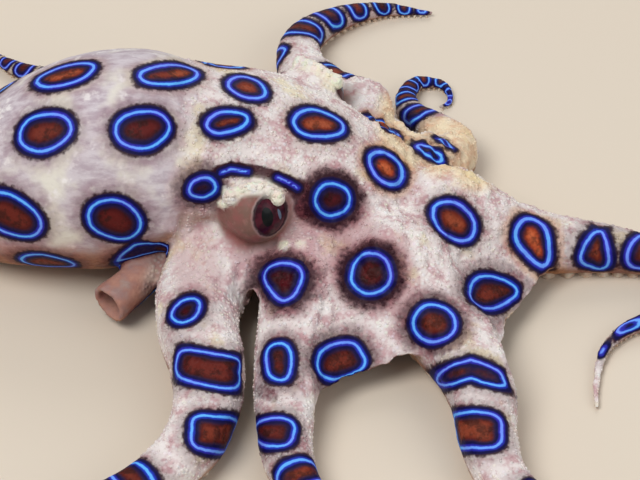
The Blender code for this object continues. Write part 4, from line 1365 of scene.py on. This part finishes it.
def colour_setting(name, what, default):
    """A colour setting, in 0 to 255 levels."""
    return FloatVectorProperty(name=name, description=f"Colour of {what}, 0 to 255 levels",
                               default=default, size=3)


class SkinLook(PropertyGroup):
    """Sizes and colours of the skin."""

    voxel: FloatProperty(name="Skin grain", description="Edge length of the skin's faces, millimetres",
                         default=0.445, min=0.35, max=1.0)
    mantle: colour_setting("Mantle", "the mantle", (206, 196, 200))
    head: colour_setting("Head and arms", "head and arms", (230, 221, 217))
    under: colour_setting("Undersides", "the undersides", (128, 84, 56))
    blue: colour_setting("Ring blue", "the rings' lines", (96, 178, 252))
    navy: colour_setting("Ring navy", "the skin beside the lines", (7, 3, 62))
    sucker: colour_setting("Suckers", "the suckers", (226, 208, 188))


class GranuleLook(PropertyGroup):
    """Sizes of the granules."""

    spacing: FloatProperty(name="Spacing", description="Distance between granules, millimetres",
                           default=0.85, min=0.6, max=3.0)
    size: FloatProperty(name="Size", description="Radius of a granule, millimetres",
                        default=0.19, min=0.05, max=0.6)


class SuckerLook(PropertyGroup):
    """Sizes of the suckers."""

    share: FloatProperty(name="Size", description="Radius of a sucker in half widths of its arm",
                         default=0.30, min=0.15, max=0.45, subtype="FACTOR")
    sides: IntProperty(name="Sides", description="Sides of a sucker's rim", default=10, min=6, max=24)


class EyeLook(PropertyGroup):
    """Colours of the eyes."""

    globe: colour_setting("Globe", "the globe", (140, 88, 84))
    iris: colour_setting("Iris", "the iris", (46, 6, 22))


class StageLook(PropertyGroup):
    """Floor and light."""

    floor: FloatVectorProperty(name="Floor", description="Colour of the floor", default=(0.71, 0.61, 0.49),
                               size=3, subtype="COLOR", min=0.0, max=1.0)
    light: FloatProperty(name="Light", description="Strength of the large soft light",
                         default=3.3, min=0.0, unit="POWER")


class OCTOPUS_OT_skin(Operator):
    """Melts the forms of mantle, head, crown, arms, webs and siphon into one skin with its rings"""

    bl_idname = "octopus.skin"
    bl_label = "Skin"

    def execute(self, context):
        arms = all_arms()
        mesh = melt_together(flesh_forms(arms), context.scene.octopus_skin.voxel)
        settle(mesh, arms)
        edges, half = read_edges(mesh), np.array([0.5])
        normals = relax(read_points(mesh, "vertex_normals", "vector"), edges, half, 8)
        softer = relax(normals, edges, half, 20)
        fields = skin_fields(read_points(mesh), unit(normals), unit(softer), arms)
        fields["ring"] = mended(fields["ring"], edges)
        put_fields(mesh, fields)
        piece = shown("skin", mesh, skin_material(context.scene.octopus_skin))
        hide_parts(*flesh_nodes())
        return {"FINISHED"}


class OCTOPUS_OT_granules(Operator):
    """Scatters small closed domes over the head, webs and arms, in the skin's own colours"""

    bl_idname = "octopus.granules"
    bl_label = "Granules"

    def execute(self, context):
        look = context.scene.octopus_granules
        skin = bpy.data.objects["skin"].data
        points = read_points(skin) / MM - SHIFT
        normals = read_points(skin, "vertex_normals", "vector")
        fields = {name: read_field(skin, name) for name in FIELDS}
        dice = np.random.default_rng(SETTLE_SEED)
        allowed = (fields["ring"] > RING_CLEAR) & (fields["under"] < 0.4) & (points[:, 2] > 0.8)
        allowed &= (fields["zone"] > dice.uniform(0.25, 0.9, len(points))) & (fields["lid"] < 0.1)
        allowed &= near_rims(points, all_arms()) < 0.4
        for side in (-1, 1):
            allowed &= lengths(points - globe_middle(side)) > GLOBE_RADIUS + GLOBE_CLEAR
        picked = scattered(points, allowed, look.spacing, SETTLE_SEED)
        sizes = look.size * dice.uniform(0.5, 1.25, len(picked))
        verts, faces, each = domes(points[picked], normals[picked], sizes, DOME_TALL)
        mesh = mesh_from("octopus_granules", verts, faces)
        own = {name: np.repeat(values[picked], each) for name, values in fields.items()}
        clear = ease((fields["ring"][picked] - 1.2 - 2.4 * fields["halo"][picked]) / 1.2)
        own["bead"] = np.maximum(own["bead"], np.repeat(dice.uniform(0.0, 0.4, len(picked)) * clear, each))
        put_fields(mesh, own)
        shown("granules", mesh, bpy.data.materials["octopus_skin"])
        return {"FINISHED"}


class OCTOPUS_OT_brows(Operator):
    """Sets the pale beads of the brow over each eye, half sunk in the skin"""

    bl_idname = "octopus.brows"
    bl_label = "Brow beads"

    def execute(self, context):
        beads = [bead for side in (-1, 1) for bead in brow_beads(side)]
        forms = [ball_form(middle - UP * BEAD_SUNK * size, size * 1.05, UP, 18, 28)
                 for middle, size in beads]
        mesh = mesh_from("octopus_brows", *joined(forms))
        own = {"ring": NO_RING, "zone": 1.0, "bead": BEAD_PALE}
        put_fields(mesh, {name: np.full(len(mesh.vertices), own.get(name, 0.0)) for name in FIELDS})
        shown("brow_beads", mesh, bpy.data.materials["octopus_skin"])
        return {"FINISHED"}


class OCTOPUS_OT_suckers(Operator):
    """Sets two rows of cupped suckers under every arm, finer towards the tip"""

    bl_idname = "octopus.suckers"
    bl_label = "Suckers"

    def execute(self, context):
        look = context.scene.octopus_suckers
        all_points, all_faces, cups, first = [], [], [], 0
        for arm in all_arms().values():
            verts, pattern, cup = sucker_rows(arm, look.share, look.sides)
            count, each = verts.shape[:2]
            all_faces.extend(repeated(pattern, count, each, first))
            all_points.append(verts.reshape(-1, 3))
            cups.append(cup)
            first += count * each
        points = np.vstack(all_points)
        points[:, 2] = np.maximum(points[:, 2], 0.0)
        mesh = mesh_from("octopus_suckers", points, all_faces)
        put_fields(mesh, {"cup": np.concatenate(cups)})
        shown("suckers", mesh, sucker_material(context.scene.octopus_skin))
        return {"FINISHED"}


def beak_form(lower, sides=32):
    """One half of the beak: ovals down a line that bends to its point, hooked to the other half."""
    share = np.linspace(0.0, 1.0, 12)[:, None]
    size = BEAK_RADIUS * (1.0 - 0.97 * share**1.4)
    cosine, sine = circle(sides)
    lean = (0.35 if lower else -0.35) * (1.0 - share**2)
    height = MOUTH_HEIGHT + 0.4 - BEAK_DEPTH * share * (0.8 if lower else 1.0)
    return tube(np.stack([lean + size * cosine * 0.8, size * sine, height + 0 * sine], axis=-1)[::-1])


class OCTOPUS_OT_beak(Operator):
    """Sets the two halves of the dark beak inside the lips"""

    bl_idname = "octopus.beak"
    bl_label = "Beak"

    def execute(self, context):
        mesh = mesh_from("octopus_beak", *joined([beak_form(lower) for lower in (False, True)]))
        shown("beak", mesh, beak_material())
        return {"FINISHED"}


class OCTOPUS_OT_eyes(Operator):
    """Turns both eyes' globes with their irises and pupils"""

    bl_idname = "octopus.eyes"
    bl_label = "Eyes"

    def execute(self, context):
        material = eye_material(context.scene.octopus_eyes)
        for side, name in ((-1, "eye_right"), (1, "eye_left")):
            _, _, axis = eye_frame(side)
            eye = globe_middle(side)
            points, faces = ball_form(eye, GLOBE_RADIUS, axis, 72, 96)
            way = looking(points - eye, side)
            mesh = mesh_from(name, points, faces)
            # The lower field marks the globe's under part, where the material paints shade.
            put_fields(mesh, {
                "pupil": oval_gap(way, PUPIL_WAY, PUPIL_HALF), "iris": oval_gap(way, IRIS_WAY, IRIS_HALF),
                "glint": oval_gap(way, GLINT_WAY, GLINT_HALF), "lower": ease((0.1 - way[:, 2]) / 0.3),
            })
            piece = shown(name + "_globe", mesh, material)
            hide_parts(name)
        return {"FINISHED"}


class OCTOPUS_OT_stage(Operator):
    """Lays the pale floor, hangs the soft lights and sets the camera at the picture's angle"""

    bl_idname = "octopus.stage"
    bl_label = "Stage"

    def execute(self, context):
        look = context.scene.octopus_stage
        half = FLOOR_WIDE / 2
        corners = [(-half, -half, 0.0), (half, -half, 0.0), (half, half, 0.0), (-half, half, 0.0)]
        floor = bpy.data.objects.new("floor", mesh_from("floor", corners, [[0, 1, 2, 3]]))
        floor.data.materials.append(floor_material(look.floor))
        scene = context.scene
        scene.collection.objects.link(floor)
        target = Vector((VIEW_TARGET + SHIFT) * MM)
        for name, place, size, share in LAMPS:
            lamp = bpy.data.lights.new(name, "AREA")
            lamp.energy = look.light * share
            lamp.shape, lamp.size = "DISK", size
            hung = bpy.data.objects.new(name, lamp)
            hung.location = target + Vector(place)
            hung.rotation_euler = (-Vector(place)).to_track_quat("-Z", "Y").to_euler()
            scene.collection.objects.link(hung)
        world = bpy.data.worlds.new("studio")
        world.use_nodes = True
        sky = world.node_tree.nodes["Background"]
        sky.inputs["Color"].default_value = SKY
        sky.inputs["Strength"].default_value = SKY_STRENGTH
        scene.world = world
        scene.view_settings.view_transform = "Standard"
        camera = bpy.data.objects.new("camera", bpy.data.cameras.new("camera"))
        camera.data.lens, camera.data.sensor_width = VIEW_LENS, VIEW_SENSOR
        camera.data.clip_start = 0.01
        back = Vector(View().away)
        camera.location = target + back * VIEW_AWAY * MM
        camera.rotation_euler = (-back).to_track_quat("-Z", "Y").to_euler()
        scene.collection.objects.link(camera)
        scene.camera = camera
        return {"FINISHED"}


class OCTOPUS_PT_panel(Panel):
    """Lists the octopus's pieces and their settings"""

    bl_idname = "OCTOPUS_PT_panel"
    bl_label = "Octopus"
    bl_space_type = "VIEW_3D"
    bl_region_type = "UI"
    bl_category = "Octopus"

    def draw(self, context):
        for kind, operators in PANEL_ROWS:
            box = self.layout.box()
            look = getattr(context.scene, "octopus_" + kind)
            for name in look.bl_rna.properties.keys():
                if name not in ("rna_type", "name"):
                    box.prop(look, name)
            for operator in operators:
                box.operator(operator)


LOOKS = {
    "skin": SkinLook, "granules": GranuleLook, "suckers": SuckerLook, "eyes": EyeLook, "stage": StageLook,
}
PANEL_ROWS = (
    ("skin", ("octopus.skin", "octopus.brows")), ("granules", ("octopus.granules",)),
    ("suckers", ("octopus.suckers",)), ("eyes", ("octopus.eyes", "octopus.beak")),
    ("stage", ("octopus.stage",)),
)
CLASSES = (*LOOKS.values(), OCTOPUS_OT_skin, OCTOPUS_OT_brows, OCTOPUS_OT_granules, OCTOPUS_OT_suckers,
           OCTOPUS_OT_eyes, OCTOPUS_OT_beak, OCTOPUS_OT_stage, OCTOPUS_PT_panel)


def register():
    for kind in CLASSES:
        bpy.utils.register_class(kind)
    for name, look in LOOKS.items():
        setattr(bpy.types.Scene, "octopus_" + name, PointerProperty(type=look))


def unregister():
    for name in LOOKS:
        delattr(bpy.types.Scene, "octopus_" + name)
    for kind in reversed(CLASSES):
        bpy.utils.unregister_class(kind)


def main():
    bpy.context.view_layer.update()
    register()
    for _, operators in PANEL_ROWS:
        for name in operators:
            getattr(bpy.ops.octopus, name.split(".")[1])()


if __name__ == "__main__":
    main()
